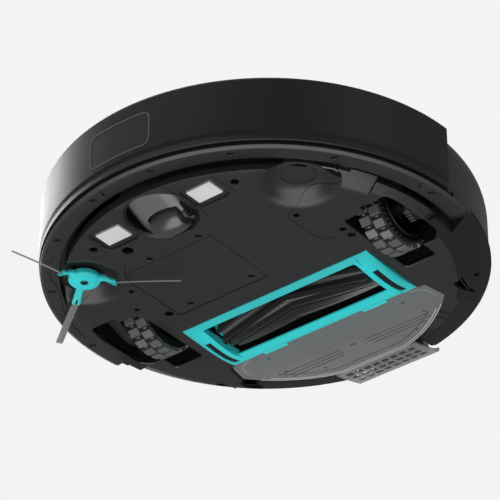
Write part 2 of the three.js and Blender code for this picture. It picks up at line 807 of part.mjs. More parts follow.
// A toothed disc drawn about the X axis: each tooth is a list of [share of a pitch, radius].
function gearSlab(teeth, tooth, x0, x1, shift = 0) {
  const points = [];
  for (let i = 0; i < teeth; i++) {
    for (const [share, r] of tooth) {
      const angle = ((i + share + shift) * 2 * Math.PI) / teeth;
      points.push([r * Math.cos(angle), r * Math.sin(angle)]);
    }
  }
  return slab(outline(points), x0, x1);
}

// Built about the axle: X along it, the tyre's middle at x = 0. The two rows of blocks sit half a pitch apart.
function tyre() {
  const half = tyreWidth / 2;
  const base = wheelRadius - treadDepth;
  const tooth = [[-0.38, base], [-0.34, wheelRadius], [0.34, wheelRadius], [0.38, base]];
  const rows = join(gearSlab(treadBlocks, tooth, -half, 0), gearSlab(treadBlocks, tooth, 0, half, 0.5));
  return cut(rows, turned([-half - 1, 0], [half + 1, 0], [half + 1, rimRadius + seat], [-half - 1, rimRadius + seat]));
}

function wheelRim() {
  const [inner, lip] = [-tyreWidth / 2, tyreWidth / 2 + 3];
  const web = inner + 5;
  const bore = rimRadius - 2.4;
  const drum = turned(
    [inner, bore],
    [web, bore],
    [web, axleRadius + seat],
    [lip - 1, axleRadius + seat],
    [lip - 1, 6.4],
    [web + 2.4, 7.4],
    [web + 2.4, bore],
    [lip, bore],
    [lip, rimRadius],
    [inner, rimRadius],
  );
  const tip = wheelRadius - treadDepth - 0.4;
  const teeth = gearSlab(hubTeeth, [[0, tip], [0.5, tip - 2.6]], tyreWidth / 2 + seat, lip);
  const opening = turned([0, 0], [lip + 1, 0], [lip + 1, bore + 1], [0, bore + 1]);
  const windows = [];
  for (let i = 0; i < 5; i++) windows.push(rodX(inner - 1, web + 4, 0, 15.5, 5.4, 6).rotate([72 * i, 0, 0]));
  return cut(join(drum, cut(teeth, opening)), ...windows);
}

// The arm's outline runs from the axle over the pivot to the motor.
function driveArm() {
  const at = (y, z, r) => rodX(armIn, armOut, y, z, r, 16);
  const [my, mz] = [pivotY - 16, pivotZ + 14];
  const hull = (a, b) => wasm.Manifold.hull([a, b]);
  const pivot = at(pivotY, pivotZ, 8);
  const body = join(
    hull(at(wheelY, wheelZ, 15.5), pivot),
    hull(pivot, at(my, mz, driveMotorRadius)),
    box(armIn + 0.8, armOut - 0.8, wheelY - 5, wheelY + 5, wheelZ, wheelZ + 17),
  );
  const shaft = rodX(tyreIn + 6, armIn + 1, wheelY, wheelZ, axleRadius, 12);
  const pin = rodX(armOut - 1, armOut + 1.7 + wellWall - 0.2, pivotY, pivotZ, axleRadius, 12);
  return join(body, shaft, pin);
}

function driveMotor() {
  const [my, mz] = [pivotY - 16, pivotZ + 14];
  return join(
    rodX(armIn - seat - 26, armIn - seat, my, mz, driveMotorRadius),
    rodX(armIn - seat - 28, armIn - seat - 25, my, mz, 4, 12),
  );
}

function coilSpring(radius, wire, turns, z0, z1) {
  class Helix extends THREE.Curve {
    getPoint(t) {
      const angle = t * turns * Math.PI * 2;
      const height = z0 + wire + t * (z1 - z0 - 2 * wire);
      return new THREE.Vector3(radius * Math.cos(angle), radius * Math.sin(angle), height);
    }
  }
  const section = outline([[wire, 0], [-wire / 2, wire * 0.87], [-wire / 2, -wire * 0.87]]);
  const geometry = new THREE.ExtrudeGeometry(section, { extrudePath: new Helix(), steps: turns * 6, curveSegments: 1 });
  return toSolid(geometry);
}

const springLow = wheelZ + 17 + seat;
for (const side of [1, -1]) {
  const hand = side > 0 ? 'left' : 'right';
  place(chassis, `wheel_housing_${hand}`, onSide(wheelHousing(), side), look.dark);
  const suspension = groupAt(robot);
  place(suspension, `drive_arm_${hand}`, onSide(driveArm(), side), look.grey);
  place(suspension, `drive_motor_${hand}`, onSide(driveMotor(), side), look.steel);
  const wheel = groupAt(suspension, side * wheelX, wheelY, wheelZ);
  place(wheel, `tyre_${hand}`, onSide(tyre(), side), look.tyre);
  place(wheel, `wheel_rim_${hand}`, onSide(wheelRim(), side), look.dark);
  const spring = coilSpring(3.8, 0.6, 4, springLow, wellTop - seat);
  place(chassis, `suspension_spring_${hand}`, spring, look.steel, [side * (armIn + armThick / 2), wheelY, 0]);
}

// Caster --------------------------------------------------------------------------------------

const forkTop = 30;
const socketFloor = forkTop + seat;

function casterSocket() {
  const outer = casterRadius + 0.7 + wellWall;
  const cup = revolve([
    [casterRadius + 0.7, insideLow],
    [outer, insideLow],
    [outer, socketFloor + 2.4],
    [casterStem + 4, socketFloor + 2.4],
    [casterStem + 4, socketFloor + 14],
    [casterStem + seat, socketFloor + 14],
    [casterStem + seat, socketFloor],
    [casterRadius + 0.7, socketFloor],
  ], dishSteps).translate([0, casterY, 0]);
  return cup.intersect(insideBody());
}

// Built about the swivel axis, with the wheel trailing towards +Y.
function casterFork() {
  const drum = revolve([
    [0, floorGap + 1.6],
    [casterRadius * 0.45, floorGap + 2.4],
    [casterRadius * 0.8, floorGap + 4.6],
    [casterRadius, floorGap + 8.5],
    [casterRadius, forkTop],
    [casterStem, forkTop],
    [casterStem, socketFloor + 13],
    [0, socketFloor + 13],
  ], smallSteps);
  const half = casterWheelWidth / 2 + 0.8;
  const cheek = rodX(-half - 4.5, half + 4.5, casterTrail, casterWheelRadius, 4, 16);
  const slot = rodX(-half, half, casterTrail, casterWheelRadius, casterWheelRadius + 1.2, smallSteps);
  const down = box(-half, half, casterTrail - casterWheelRadius - 1.2, casterTrail + casterWheelRadius + 1.2, 0, casterWheelRadius);
  const bore = rodX(-half - 3, half + 3, casterTrail, casterWheelRadius, 1.7 + seat, 12);
  const round = post(0, 0, casterRadius, 0, forkTop + 30, smallSteps);
  return cut(join(drum, cheek.intersect(round)), slot, down, bore);
}

function casterWheel() {
  const half = casterWheelWidth / 2;
  const barrel = arc(0, 0, half, casterWheelRadius - 8.5, 0, 180, 5).map(([x, r]) => [x, 8.5 + r]);
  return cut(revolveX([[-half, 0], [half, 0], ...barrel], smallSteps), rodX(-half - 1, half + 1, 0, 0, 1.7 + seat, 8));
}

place(chassis, 'caster_socket', casterSocket(), look.dark);
const swivel = groupAt(robot, 0, casterY, 0);
place(swivel, 'caster_fork', casterFork(), look.grey);
const casterRoll = groupAt(swivel, 0, casterTrail, casterWheelRadius);
place(casterRoll, 'caster_wheel', casterWheel(), look.grey);
const axleHalf = casterWheelWidth / 2 + 3.4;
place(casterRoll, 'caster_axle', rodX(-axleHalf, axleHalf, 0, 0, 1.7, 8), look.steel);

// Side brush ----------------------------------------------------------------------------------

const armRoot = floorGap + 1.2;
const stemTop = floorGap + dishDepth + plate + 4;

// Built about its own axis, three arms that dip towards their tips.
function sideBrushHub() {
  const dome = revolve([
    [0, floorGap + 0.4],
    [4, floorGap + 0.4],
    [sideHubRadius - 1.5, floorGap + 3],
    [sideHubRadius, floorGap + 4.8],
    [sideHubRadius, floorGap + 6.6],
    [3.5, floorGap + 6.6],
    [3.5, stemTop],
    [0, stemTop],
  ], dishSteps);
  const bend = outline([
    [4, armRoot + 1.4],
    [sideHubRadius + 3, armRoot - 0.2],
    [sideArmReach, floorGap - 3.8],
    [sideArmReach, floorGap - 0.6],
    [sideHubRadius + 4, armRoot + 3.6],
    [4, armRoot + 5],
  ]);
  const arms = [0, 1, 2].map((i) => {
    const arm = wall(bend, -sideArmWidth / 2, sideArmWidth / 2);
    return arm.rotate([0, 0, sideBrushPhase + 120 * i]);
  });
  const counterbore = join(post(0, 0, 1.6, 0, floorGap + 8, 8), post(0, 0, 3.3, 0, floorGap + 1.6, 12));
  return cut(join(dome, ...arms), counterbore);
}

function bristles(index) {
  const start = sideArmReach + seat;
  const ribbon = outline([
    [start, floorGap - 3.4],
    [start + 18, floorGap - 6],
    [bristleReach, 0.6],
    [bristleReach, 1.5],
    [start + 18, floorGap - 4.4],
    [start, floorGap - 1.4],
  ]);
  return wall(ribbon, -bristleWidth / 2, bristleWidth / 2).rotate([0, 0, sideBrushPhase + 120 * index]);
}

function sideBrushScrew() {
  const head = post(0, 0, 3, floorGap + 0.2, floorGap + 1.3, 8);
  const slots = join(box(-2, 2, -0.4, 0.4, 0, floorGap + 0.7), box(-0.4, 0.4, -2, 2, 0, floorGap + 0.7));
  return cut(join(head, post(0, 0, 1.3, floorGap + 1, floorGap + 7.7, 8)), slots);
}

function sideBrushMotor() {
  const low = floorGap + dishDepth + plate + seat;
  const gearcase = revolve([
    [0, low],
    [sideMotorRadius, low],
    [sideMotorRadius, low + 12],
    [sideMotorRadius - 4, low + 14],
    [0, low + 14],
  ], 16);
  const motor = post(4, 0, 9.5, low + 13, low + 27, 12);
  const body = cut(join(gearcase, motor), post(0, 0, 3.9, low - 1, stemTop + seat, 16));
  return body.translate([-dishX, dishY, 0]).intersect(insideBody());
}

place(chassis, 'side_brush_motor', sideBrushMotor(), look.dark);
const sideBrush = groupAt(robot, -dishX, dishY, 0);
place(sideBrush, 'side_brush_hub', sideBrushHub(), look.accent);
['a', 'b', 'c'].forEach((letter, i) => place(sideBrush, `side_bristles_${letter}`, bristles(i), look.bristle));
place(sideBrush, 'side_brush_screw', sideBrushScrew(), look.steel);

// Main roller, tunnel and guard ---------------------------------------------------------------

// Six V-shaped rubber vanes on a core, built about the roller's axis along X.
function rollerCoreBody() {
  const stations = 8;
  const rings = [];
  for (let i = 0; i <= stations; i++) {
    const x = -rollerHalf + (2 * rollerHalf * i) / stations;
    const twist = THREE.MathUtils.degToRad(rollerTwist) * (Math.abs(x) / rollerHalf);
    const ring = [];
    for (let v = 0; v < rollerVanes; v++) {
      const middle = (v * 2 * Math.PI) / rollerVanes - twist;
      const [tip, foot] = [vaneThick / 2 / rollerRadius, vaneThick / 1.6 / rollerCore];
      for (const [angle, r] of [[-foot, rollerCore], [-tip, rollerRadius], [tip, rollerRadius], [foot, rollerCore]]) {
        ring.push(new THREE.Vector3(x, r * Math.cos(middle + angle), r * Math.sin(middle + angle)));
      }
    }
    rings.push(ring);
  }
  return loft(rings);
}

const capEnd = rollerHalf + seat + 5;
const stubEnd = capEnd + 4.5;

function rollerCap() {
  return join(
    rodX(rollerHalf + seat, capEnd, 0, 0, 12, 14),
    rodX(capEnd - 1, stubEnd, 0, 0, 4, 10),
  );
}

function brushHousing() {
  const [end, low] = [guardHalf, insideLow];
  const shell = box(-end, end, guardFront - 1, guardRear - 0.5, low, tunnelTop);
  const tunnel = rodX(-capEnd - 0.6, capEnd + 0.6, rollerY, rollerZ, tunnelRadius, 20);
  const mouth = box(-capEnd - 0.6, capEnd + 0.6, rollerY - 21.5, rollerY + 21.5, 0, rollerZ);
  const duct = box(-60, 60, rollerY, guardRear + 5, rollerZ + 3, tunnelTop - 4);
  const bearings = rodX(-stubEnd - seat, stubEnd + seat, rollerY, rollerZ, 4 + seat, 16);
  const relief = box(-end + 4, end - 4, guardFront - 5, guardFront + 5, rollerZ + 2, tunnelTop + 1);
  return cut(shell, tunnel, mouth, duct, bearings, relief);
}

function guardSide(sag) {
  const shape = new THREE.Shape();
  shape.moveTo(guardFront, floorGap - 0.1);
  shape.quadraticCurveTo(rollerY - 8, floorGap - 1.3 * sag, rollerY + 14, floorGap - sag * 0.9);
  shape.quadraticCurveTo(guardRear - 6, floorGap - sag * 0.45, guardRear, floorGap + 1);
  shape.lineTo(guardRear, plateTop - 0.2);
  shape.lineTo(guardFront, plateTop - 0.2);
  return shape;
}

function brushGuard() {
  const frame = slab(outline([
    [guardFront, floorGap - 0.1],
    [guardFront + guardBar, floorGap - guardSag],
    [guardRear - 6, floorGap - guardSag],
    [guardRear, floorGap + 0.6],
    [guardRear, plateTop - 0.2],
    [guardFront, plateTop - 0.2],
  ]), -guardHalf, guardHalf);
  const inner = mouthHalf;
  const window = prism(
    roundRect(-inner, inner, guardFront + guardBar, guardRear - guardRearBar, 1.5), -5, plateTop + 5, 2);
  let body = cut(frame, window);
  for (const side of [1, -1]) {
    const skid = onSide(slab(guardSide(skidSag), inner, guardHalf, 5), side);
    const groove = onSide(slab(guardSide(skidSag - 1.3), inner + 5.5, inner + 10.5, 5), side);
    const sweep = box(-guardHalf, guardHalf, guardFront + 21, guardRear - 3, -5, plateTop);
    const under = cut(box(-200, 200, 0, 90, -5, floorGap + 1), onSide(slab(guardSide(skidSag - 1.3), 0, 200, 5), side));
    const band = onSide(box(inner + 5.5, inner + 10.5, 0, 90, -5, floorGap), side);
    body = cut(join(body, cut(skid, window)), under.intersect(band).intersect(sweep));
    const tab = box(tabPlace - tabWidth / 2, tabPlace + tabWidth / 2, guardRear - 1, guardRear + 3.4, floorGap + 0.4, plateTop - 0.2);
    body = join(body, onSide(tab, side));
  }
  return body;
}

function brushMotor() {
  const [x0, y0] = [guardHalf + seat, -22];
  const x1 = wellX - wellWall - seat;
  const gearcase = box(x0, x1, y0, rollerY + 14, insideLow + 3, insideLow + 32);
  const foot = box(x0, x1, y0 + 4, y0 + 18, insideLow, insideLow + 4);
  const motor = rodX(x0 - brushMotorReach, x0 + 1, y0 + 12, insideLow + 16, 11.5);
  return join(gearcase, foot, motor);
}

place(chassis, 'brush_housing', brushHousing(), look.dark);
place(chassis, 'brush_motor', brushMotor(), look.steel);
const roller = groupAt(robot, 0, rollerY, rollerZ);
place(roller, 'roller_core', rollerCoreBody(), look.dark);
place(roller, 'roller_cap_left', rollerCap(), look.accent);
place(roller, 'roller_cap_right', mirrorX(rollerCap()), look.accent);
place(robot, 'brush_guard', brushGuard(), look.accent);

// Dust bin ------------------------------------------------------------------------------------

const filterFront = binRearY + seat;
const fanFront = filterFront + filterThick + seat;
const fanBack = fanFront + 16;
const fanZ = binLow + 28;
const panelTop = bayRoof;
const tailTop = binLow + 32;

function binTray() {
  const shell = binPrism(0, binLow, binHigh);
  const hollow = binPrism(binWall, binLow + binWall, binHigh + 1);
  const inlet = box(-58, 58, binFront - 1, binFront + binWall + 1, binLow + 18, binHigh - 6);
  const outlet = box(-30, 30, binRearY - binWall - 1, binRearY + 1, binLow + 8, binHigh - 4);
  const border = cut(binPrism(0, binLow - 0.7, binLow + 0.5), binPrism(3.5, binLow - 1, binLow + 1));
  const keep = box(-150, 150, binFront + 5, 200, 0, 50);
  const ribs = Array.from({ length: ribCount }, (_, i) => {
    const y = binFront + ribStart + ribStep * i;
    return box(-84, 84, y - 0.6, y + 0.6, binLow + 1, binLow + binWall + 0.9);
  });
  return join(cut(shell, hollow, inlet, outlet), border.intersect(keep), ...ribs);
}

function binLid() {
  const lid = binPrism(0, binHigh + seat, binHigh + seat + 2);
  const rim = cut(binPrism(binWall + seat, binHigh - 2, binHigh + seat + 0.5), binPrism(binWall + 2.2, binHigh - 3, binHigh + 3));
  const grip = box(-18, 18, binRearY - 22, binRearY - 12, binHigh + seat + 1.5, binHigh + seat + 2.6);
  return join(lid, rim.intersect(box(-120, 120, binFront + 4, binCornerY - 4, 0, 100)), grip);
}

function binFilter() {
  const frame = box(-34, 34, filterFront, filterFront + filterThick, binLow + 5.5, binHigh - 2);
  const pleats = [];
  for (let i = -4; i <= 4; i++) {
    pleats.push(box(i * 7 - 1.8, i * 7 + 1.8, filterFront - 1, filterFront + 2.5, binLow + 8, binHigh - 6));
  }
  return cut(frame, ...pleats);
}

function blowerCase() {
  const body = box(-31, 31, fanFront, fanBack, binLow + 11.5, binHigh + 1);
  const chamber = rodY(0, fanFront + 2.4, fanBack - 2.4, fanZ, fanRadius + 2);
  const eye = rodY(0, fanFront - 1, fanFront + 3, fanZ, 7.5, 16);
  const vent = box(-24, 24, fanBack - 7, fanBack + 1, binLow + 14, fanZ - 6);
  return cut(body, chamber, eye, vent);
}

// Built about its own axis along Y.
function blowerWheel() {
  const width = fanBack - fanFront - 2 * 2.4 - 2 * seat;
  const back = rodY(0, width - 1.6, width, 0, fanRadius, 14);
  const hub = rodY(0, 1, width - 1, 0, 3.4, 8);
  const blades = [];
  for (let i = 0; i < fanBlades; i++) {
    blades.push(box(2, fanRadius - 0.4, 2, width - 1, -0.6, 0.6).rotate([0, (360 / fanBlades) * i, 0]));
  }
  return wasm.Manifold.union([back, hub, ...blades]);
}

// Dark rear wall of the bin: carries the shell's surface across the bay and down round the mop recess.
function binRearPanel() {
  const band = revolve([
    [shellRadius - 5.5, flangeLow - 5],
    [skirtRadius - 1, flangeLow - 3],
    [skirtRadius, skirtTop],
    [skirtRadius, flangeHigh],
    [shellRadius, flangeHigh + 2],
    [shellRadius, panelTop],
    [shellRadius - plate, panelTop],
    [shellRadius - plate, flangeHigh],
    [shellRadius - 5.5, flangeHigh],
  ]).intersect(box(-binPanelHalf + seat, binPanelHalf - seat, 60, 200, 0, 100));
  const recess = prism(outline([[-binPanelHalf + 3, binCornerY + 8], [binPanelHalf - 3, binCornerY + 8], [binPanelHalf - 3, 200], [3 - binPanelHalf, 200]]), flangeLow, flangeLow + plate)
    .intersect(post(0, 0, shellRadius - 4, 0, 100, roundSteps));
  const tray = binPrism(-seat, 0, 100);
  const rest = box(-36, 36, 0, fanBack + seat, 0, 100);
  const tail = box(-tailHalf - seat, tailHalf + seat, 60, 200, 0, tailTop + seat);
  const button = buttonPocket(seat);
  return cut(join(band, recess), tray, rest, tail, button);
}

function buttonPocket(grow) {
  const shape = roundRect(-13 - grow, 13 + grow, tailTop + 3 - grow, tailTop + 11 + grow, 3);
  return wall(shape, shellRadius - 12, shellRadius + 5, 3);
}

function releaseButton() {
  return revolve([
    [shellRadius - 6, 20],
    [shellRadius + 0.6, 20],
    [shellRadius + 0.6, 90],
    [shellRadius - 6, 90],
  ]).intersect(buttonPocket(0));
}

// The exhaust: a sloping, louvred underside that turns up into a smooth rear wall.
function exhaustGrille() {
  const outer = shellRadius + tailProud;
  const side = outline([
    [binRearY + seat, binLow],
    [outer - 6, flangeLow - 3],
    [outer, flangeHigh - 2],
    [outer, tailTop],
    [outer - 8, tailTop],
    [outer - 8, tailTop - plate],
    [outer - plate, tailTop - plate],
    [outer - plate, flangeHigh - 1],
    [outer - 7, flangeLow - 0.8],
    [binRearY + seat, binLow + plate],
  ]);
  let body = slab(side, -tailHalf, tailHalf).intersect(post(0, 0, outer, 0, 100, roundSteps));
  for (let row = 0; row < 3; row++) {
    for (let column = 0; column < 7; column++) {
      const [x, y] = [-27 + 9 * column, binRearY + 8 + 8.2 * row];
      body = cut(body, box(x - 3.4, x + 3.4, y - 2.7, y + 2.7, 0, flangeLow + 1));
    }
  }
  return body;
}

function binBay() {
  const outer = binPrism(-seat * 2 - wellWall, insideLow, bayRoof + 0.6 + wellWall);
  const hollow = binPrism(-seat * 2, 0, bayRoof + 0.6);
  const behind = box(-200, 200, binCornerY + 2, 250, 0, 100);
  const roof = post(0, 0, shellInner - 1, bayRoof + 0.6, bayRoof + 0.6 + wellWall, roundSteps)
    .intersect(box(-binPanelHalf + 2, binPanelHalf - 2, binCornerY - 2, 200, 0, 100));
  const mouth = box(-62, 62, binFront - 6, binFront + 3, rollerZ + 2, tunnelTop - 3);
  const frontWall = box(-200, 200, 0, guardRear + 0.2, 0, 100);
  return join(cut(outer, hollow, behind, mouth, frontWall), roof);
}

place(chassis, 'bin_bay', binBay(), look.dark);
const bin = groupAt(robot);
place(bin, 'bin_tray', binTray(), look.clear);
place(bin, 'bin_lid', binLid(), look.dark);
place(bin, 'bin_filter', binFilter(), look.filter);
place(bin, 'blower_case', blowerCase(), look.dark);
place(bin, 'bin_rear_panel', binRearPanel(), look.body);
place(bin, 'exhaust_grille', exhaustGrille(), look.clear);
place(bin, 'bin_release_button', releaseButton(), look.dark);
place(bin, 'blower_wheel', blowerWheel(), look.grey, [0, fanFront + 2.4 + seat, fanZ]);

// Laser scanner and buttons -------------------------------------------------------------------

const scannerLow = bayRoof + 0.6 + wellWall + seat;
const capLow = turretTop - 3.4;

function lidarBase() {
  const foot = post(0, lidarY, turretRadius - 9, scannerLow, deckTop, 16);
  const ringBody = post(0, lidarY, turretRadius, deckTop - 1.5 + seat, capLow - lidarSlot, 24);
  const well = post(0, lidarY, wellRadius, scannerLow + 2.4, turretTop, 16);
  const pillars = [90, 210, 330].map((angle) => {
    const a = THREE.MathUtils.degToRad(angle);
    return post((turretRadius - 4.5) * Math.cos(a), lidarY + (turretRadius - 4.5) * Math.sin(a), 2.6, capLow - lidarSlot - 1, capLow - seat, 8);
  });
  return cut(join(foot, ringBody, ...pillars), well);
}

function lidarCap() {
  return revolve([
    [0, capLow],
    [turretRadius - 0.8, capLow],
    [turretRadius, capLow + 1.2],
    [turretRadius - 1, turretTop - 0.6],
    [turretRadius - 3, turretTop],
    [0, turretTop],
  ], smallSteps);
}

// Built about the turret axis: a head with a window for the beam, over a wide toothed skirt.
function lidarHead() {
  const low = scannerLow + 2.4 + seat;
  const drum = revolve([
    [0, low + 2],
    [9, low + 2],
    [9, low],
    [15, low],
    [15, low + 2],
    [headRadius, low + 2],
    [headRadius, capLow - 2],
    [headRadius - 1.5, capLow - 1],
    [0, capLow - 1],
  ], 16);
  const eyes = [-9, 9].map((x) => rodY(x, -headRadius - 4, 5.5 - headRadius, capLow - 6, 3.2, 8));
  const pane = box(-17, 17, -headRadius - 4, 4.5 - headRadius, capLow - 10.5, capLow - 2.5);
  return cut(drum, pane, ...eyes);
}

function topButton() {
  return revolve([
    [0, deckTop - 1.5 + seat + 1.3],
    [buttonRadius, deckTop - 1.5 + seat + 1.3],
    [buttonRadius, deckTop + 1.5],
    [buttonRadius - 0.6, deckTop + 2],
    [0, deckTop + 2],
  ], 14).add(post(0, 0, 3.4, deckLow - 2, deckTop + 1, 6));
}

const turret = groupAt(robot, 0, lidarY, 0);
place(robot, 'lidar_base', lidarBase(), look.dark);
place(turret, 'lidar_cap', lidarCap(), look.gloss);
place(turret, 'lidar_head', lidarHead(), look.dark);
place(robot, 'power_button', topButton(), look.gloss, [buttonSpread, buttonY, 0]);
place(robot, 'home_button', topButton(), look.gloss, [-buttonSpread, buttonY, 0]);

export default robot;
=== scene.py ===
# Robot vacuum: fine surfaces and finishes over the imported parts. Lengths in the dictionaries are in millimetres.
import json
import math

import bmesh
import bpy
from mathutils import Matrix, Vector


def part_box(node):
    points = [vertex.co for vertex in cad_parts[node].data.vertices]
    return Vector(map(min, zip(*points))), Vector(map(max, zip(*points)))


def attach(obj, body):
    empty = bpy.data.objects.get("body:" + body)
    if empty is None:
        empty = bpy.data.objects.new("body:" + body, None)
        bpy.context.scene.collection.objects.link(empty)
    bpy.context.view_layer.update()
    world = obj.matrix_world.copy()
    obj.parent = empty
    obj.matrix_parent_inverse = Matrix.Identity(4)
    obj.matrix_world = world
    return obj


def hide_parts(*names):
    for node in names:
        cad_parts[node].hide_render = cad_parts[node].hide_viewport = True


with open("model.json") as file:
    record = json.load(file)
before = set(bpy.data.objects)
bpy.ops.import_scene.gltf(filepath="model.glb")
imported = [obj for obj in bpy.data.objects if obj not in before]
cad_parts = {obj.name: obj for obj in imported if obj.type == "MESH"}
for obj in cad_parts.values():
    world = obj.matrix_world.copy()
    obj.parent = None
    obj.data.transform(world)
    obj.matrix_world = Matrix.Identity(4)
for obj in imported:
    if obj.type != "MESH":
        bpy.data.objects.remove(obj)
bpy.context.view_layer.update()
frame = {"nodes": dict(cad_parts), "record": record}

mm = 0.001


def lowest(node, axis):
    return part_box(node)[0][axis] / mm


def highest(node, axis):
    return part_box(node)[1][axis] / mm


def centre(node):
    lo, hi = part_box(node)
    return [(a + b) / 2 / mm for a, b in zip(lo, hi)]


# main sizes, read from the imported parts
body = {
    "radius": -lowest("bumper_shell", 1) - 0.6,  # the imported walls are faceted, so the round ones stay just inside
    "top": highest("bumper_shell", 2),
    "under": lowest("chassis_base", 2),
    "shellRadius": -lowest("upper_shell", 1) - 0.1,
    "shellLow": lowest("upper_shell", 2),
    "shellTop": highest("upper_shell", 2),
    "skirtRadius": highest("chassis_base", 0) + 0.1,
    "flangeTop": highest("chassis_base", 2),
    "ringLow": lowest("bumper_ring", 2),
    "ringTop": highest("bumper_ring", 2),
}
wheelAt = centre("tyre_left")
wheelAt[0] = (lowest("tyre_left", 0) + highest("tyre_left", 0)) / 2
casterAt = centre("caster_fork")
rollerAt = centre("roller_core")
brushAt = centre("side_brush_screw")
scannerAt = centre("lidar_cap")


# mesh making

def solid(points, faces):
    mesh = bpy.data.meshes.new("raw")
    mesh.from_pydata([[c * mm for c in p] for p in points], [], faces)
    work = bmesh.new()
    work.from_mesh(mesh)
    bmesh.ops.remove_doubles(work, verts=work.verts, dist=1e-7)
    bmesh.ops.dissolve_degenerate(work, edges=work.edges, dist=1e-8)
    bmesh.ops.recalc_face_normals(work, faces=work.faces)
    work.to_mesh(mesh)
    work.free()
    made = bpy.data.objects.new("raw", mesh)
    bpy.context.scene.collection.objects.link(made)
    return made


def skin(rings, caps=True):  # joins rings of equal length into one closed skin
    count = len(rings[0])
    points = [p for ring in rings for p in ring]
    faces = []
    for i in range(len(rings) - 1):
        for k in range(count):
            m = (k + 1) % count
            faces.append((i * count + k, i * count + m, (i + 1) * count + m, (i + 1) * count + k))
    if caps:
        faces.append(tuple(range(count))[::-1])
        faces.append(tuple(range((len(rings) - 1) * count, len(rings) * count)))
    return solid(points, faces)


def placed(profile, angle, about=(0, 0)):  # stands an outline of (radius, height) at an angle from the front
    a = math.radians(angle)
    return [(about[0] + r * math.sin(a), about[1] - r * math.cos(a), z) for r, z in profile]


# turns a closed (radius, height) outline about the vertical, angles from the front towards +X
def turn(profile, steps=200, start=0, end=360, about=(0, 0)):
    full = end - start >= 360
    count = max(4, round(steps * (end - start) / 360))
    angles = [start + (end - start) * i / count for i in range(count if full else count + 1)]
    rings = [placed(profile, a, about) for a in angles]
    return skin(rings + rings[:1], caps=False) if full else skin(rings)


def post(r, low, high, steps, about=(0, 0)):
    return turn([(0, low), (r, low), (r, high), (0, high)], steps, about=about)


def ringPart(r0, r1, low, high, start, end, steps=240):
    return turn([(r0, low), (r1, low), (r1, high), (r0, high)], steps, start, end)


def turnAbout(profile, at, steps=64):  # turns a closed (x, radius) outline about a line along X through at
    rings = []
    for i in range(steps):
        a = 2 * math.pi * i / steps
        rings.append([(at[0] + x, at[1] + r * math.cos(a), at[2] + r * math.sin(a)) for x, r in profile])
    return skin(rings + rings[:1], caps=False)


def grown(outline, amount):  # moves each side of a counter-clockwise outline outwards
    if not amount:
        return list(outline)
    moved = []
    for i, (x, y) in enumerate(outline):
        (x0, y0), (x1, y1) = outline[i - 1], outline[(i + 1) % len(outline)]
        a = Vector((y - y0, x0 - x)).normalized()
        b = Vector((y1 - y, x - x1)).normalized()
        c = (a + b) / max(0.4, 1 + a.dot(b))
        moved.append((x + c.x * amount, y + c.y * amount))
    return moved


def prism(outline, layers):  # a body along Z whose outline grows by a given amount at each height
    return skin([[(x, y, z) for x, y in grown(outline, amount)] for z, amount in layers])


def block(x0, x1, y0, y1, layers):
    return prism([(x0, y0), (x1, y0), (x1, y1), (x0, y1)], layers)


def slab(outline, layers):  # a body along X from an outline drawn in Y and Z
    return skin([[(x, y, z) for y, z in grown(outline, amount)] for x, amount in layers])


def plateOf(outline, a, b):  # a plain slab between two places along X, given in either order
    return slab(outline, [(x, 0) for x in sorted((a, b))])


def wallOf(outline, layers):  # a body along Y from an outline drawn in X and Z
    return skin([[(x, y, z) for x, z in grown(outline, amount)] for y, amount in layers])


def ovalArc(cx, cy, wide, tall, start, end, steps):
    angles = [math.radians(start + (end - start) * i / steps) for i in range(steps + 1)]
    return [(cx + wide * math.cos(a), cy + tall * math.sin(a)) for a in angles]


def arcPoints(cx, cy, r, start, end, steps=6):
    return ovalArc(cx, cy, r, r, start, end, steps)


def circle(cx, cy, r, steps):
    return [(cx + r * math.cos(2 * math.pi * k / steps), cy + r * math.sin(2 * math.pi * k / steps))
            for k in range(steps)]


def bend(start, corner, end, steps, first=0):  # a curve from start to end that leans towards the corner
    points = []
    for k in range(first, steps + 1):
        t = k / steps
        q = start * (1 - t) ** 2 + corner * 2 * t * (1 - t) + end * t * t
        points.append((q.x, q.y))
    return points


def softRect(x0, x1, y0, y1, r, steps=5):
    return (arcPoints(x1 - r, y0 + r, r, -90, 0, steps) + arcPoints(x1 - r, y1 - r, r, 0, 90, steps)
            + arcPoints(x0 + r, y1 - r, r, 90, 180, steps) + arcPoints(x0 + r, y0 + r, r, 180, 270, steps))


def pad(x, y, w, d, r, steps=5):  # a rounded rectangle about a point, from its half sizes
    return softRect(x - w, x + w, y - d, y + d, r, steps)


def softened(corners, radius, steps=4):  # rounds each corner of an outline
    points = []
    for i, here in enumerate(corners):
        r = radius[i] if isinstance(radius, (list, tuple)) else radius
        p, a, b = Vector(here), Vector(corners[i - 1]), Vector(corners[(i + 1) % len(corners)])
        da, db = (a - p), (b - p)
        reach = min(r, da.length * 0.48, db.length * 0.48)
        start, end = p + da.normalized() * reach, p + db.normalized() * reach
        points += bend(start, p, end, steps)
    return points


def strip(path, width, low, high, closed=False):  # a thin wall of even width along a path on the underside
    pts = [Vector(p) for p in path]
    left, right = [], []
    for i, p in enumerate(pts):
        before = pts[i - 1] if i or closed else p
        after = pts[(i + 1) % len(pts)] if i < len(pts) - 1 or closed else p
        d = (after - before).normalized()
        n = Vector((-d.y, d.x)) * width / 2
        left.append(p + n)
        right.append(p - n)
    rings = []
    for a, b in zip(left, right):
        rings.append([(a.x, a.y, low), (b.x, b.y, low), (b.x, b.y, high), (a.x, a.y, high)])
    return skin(rings + rings[:1], caps=False) if closed else skin(rings)


def mirrored(outline):
    return [(-x, y) for x, y in outline][::-1]


def settle(made):
    graph = bpy.context.evaluated_depsgraph_get()
    mesh = bpy.data.meshes.new_from_object(made.evaluated_get(graph))
    made.modifiers.clear()
    made.data = mesh


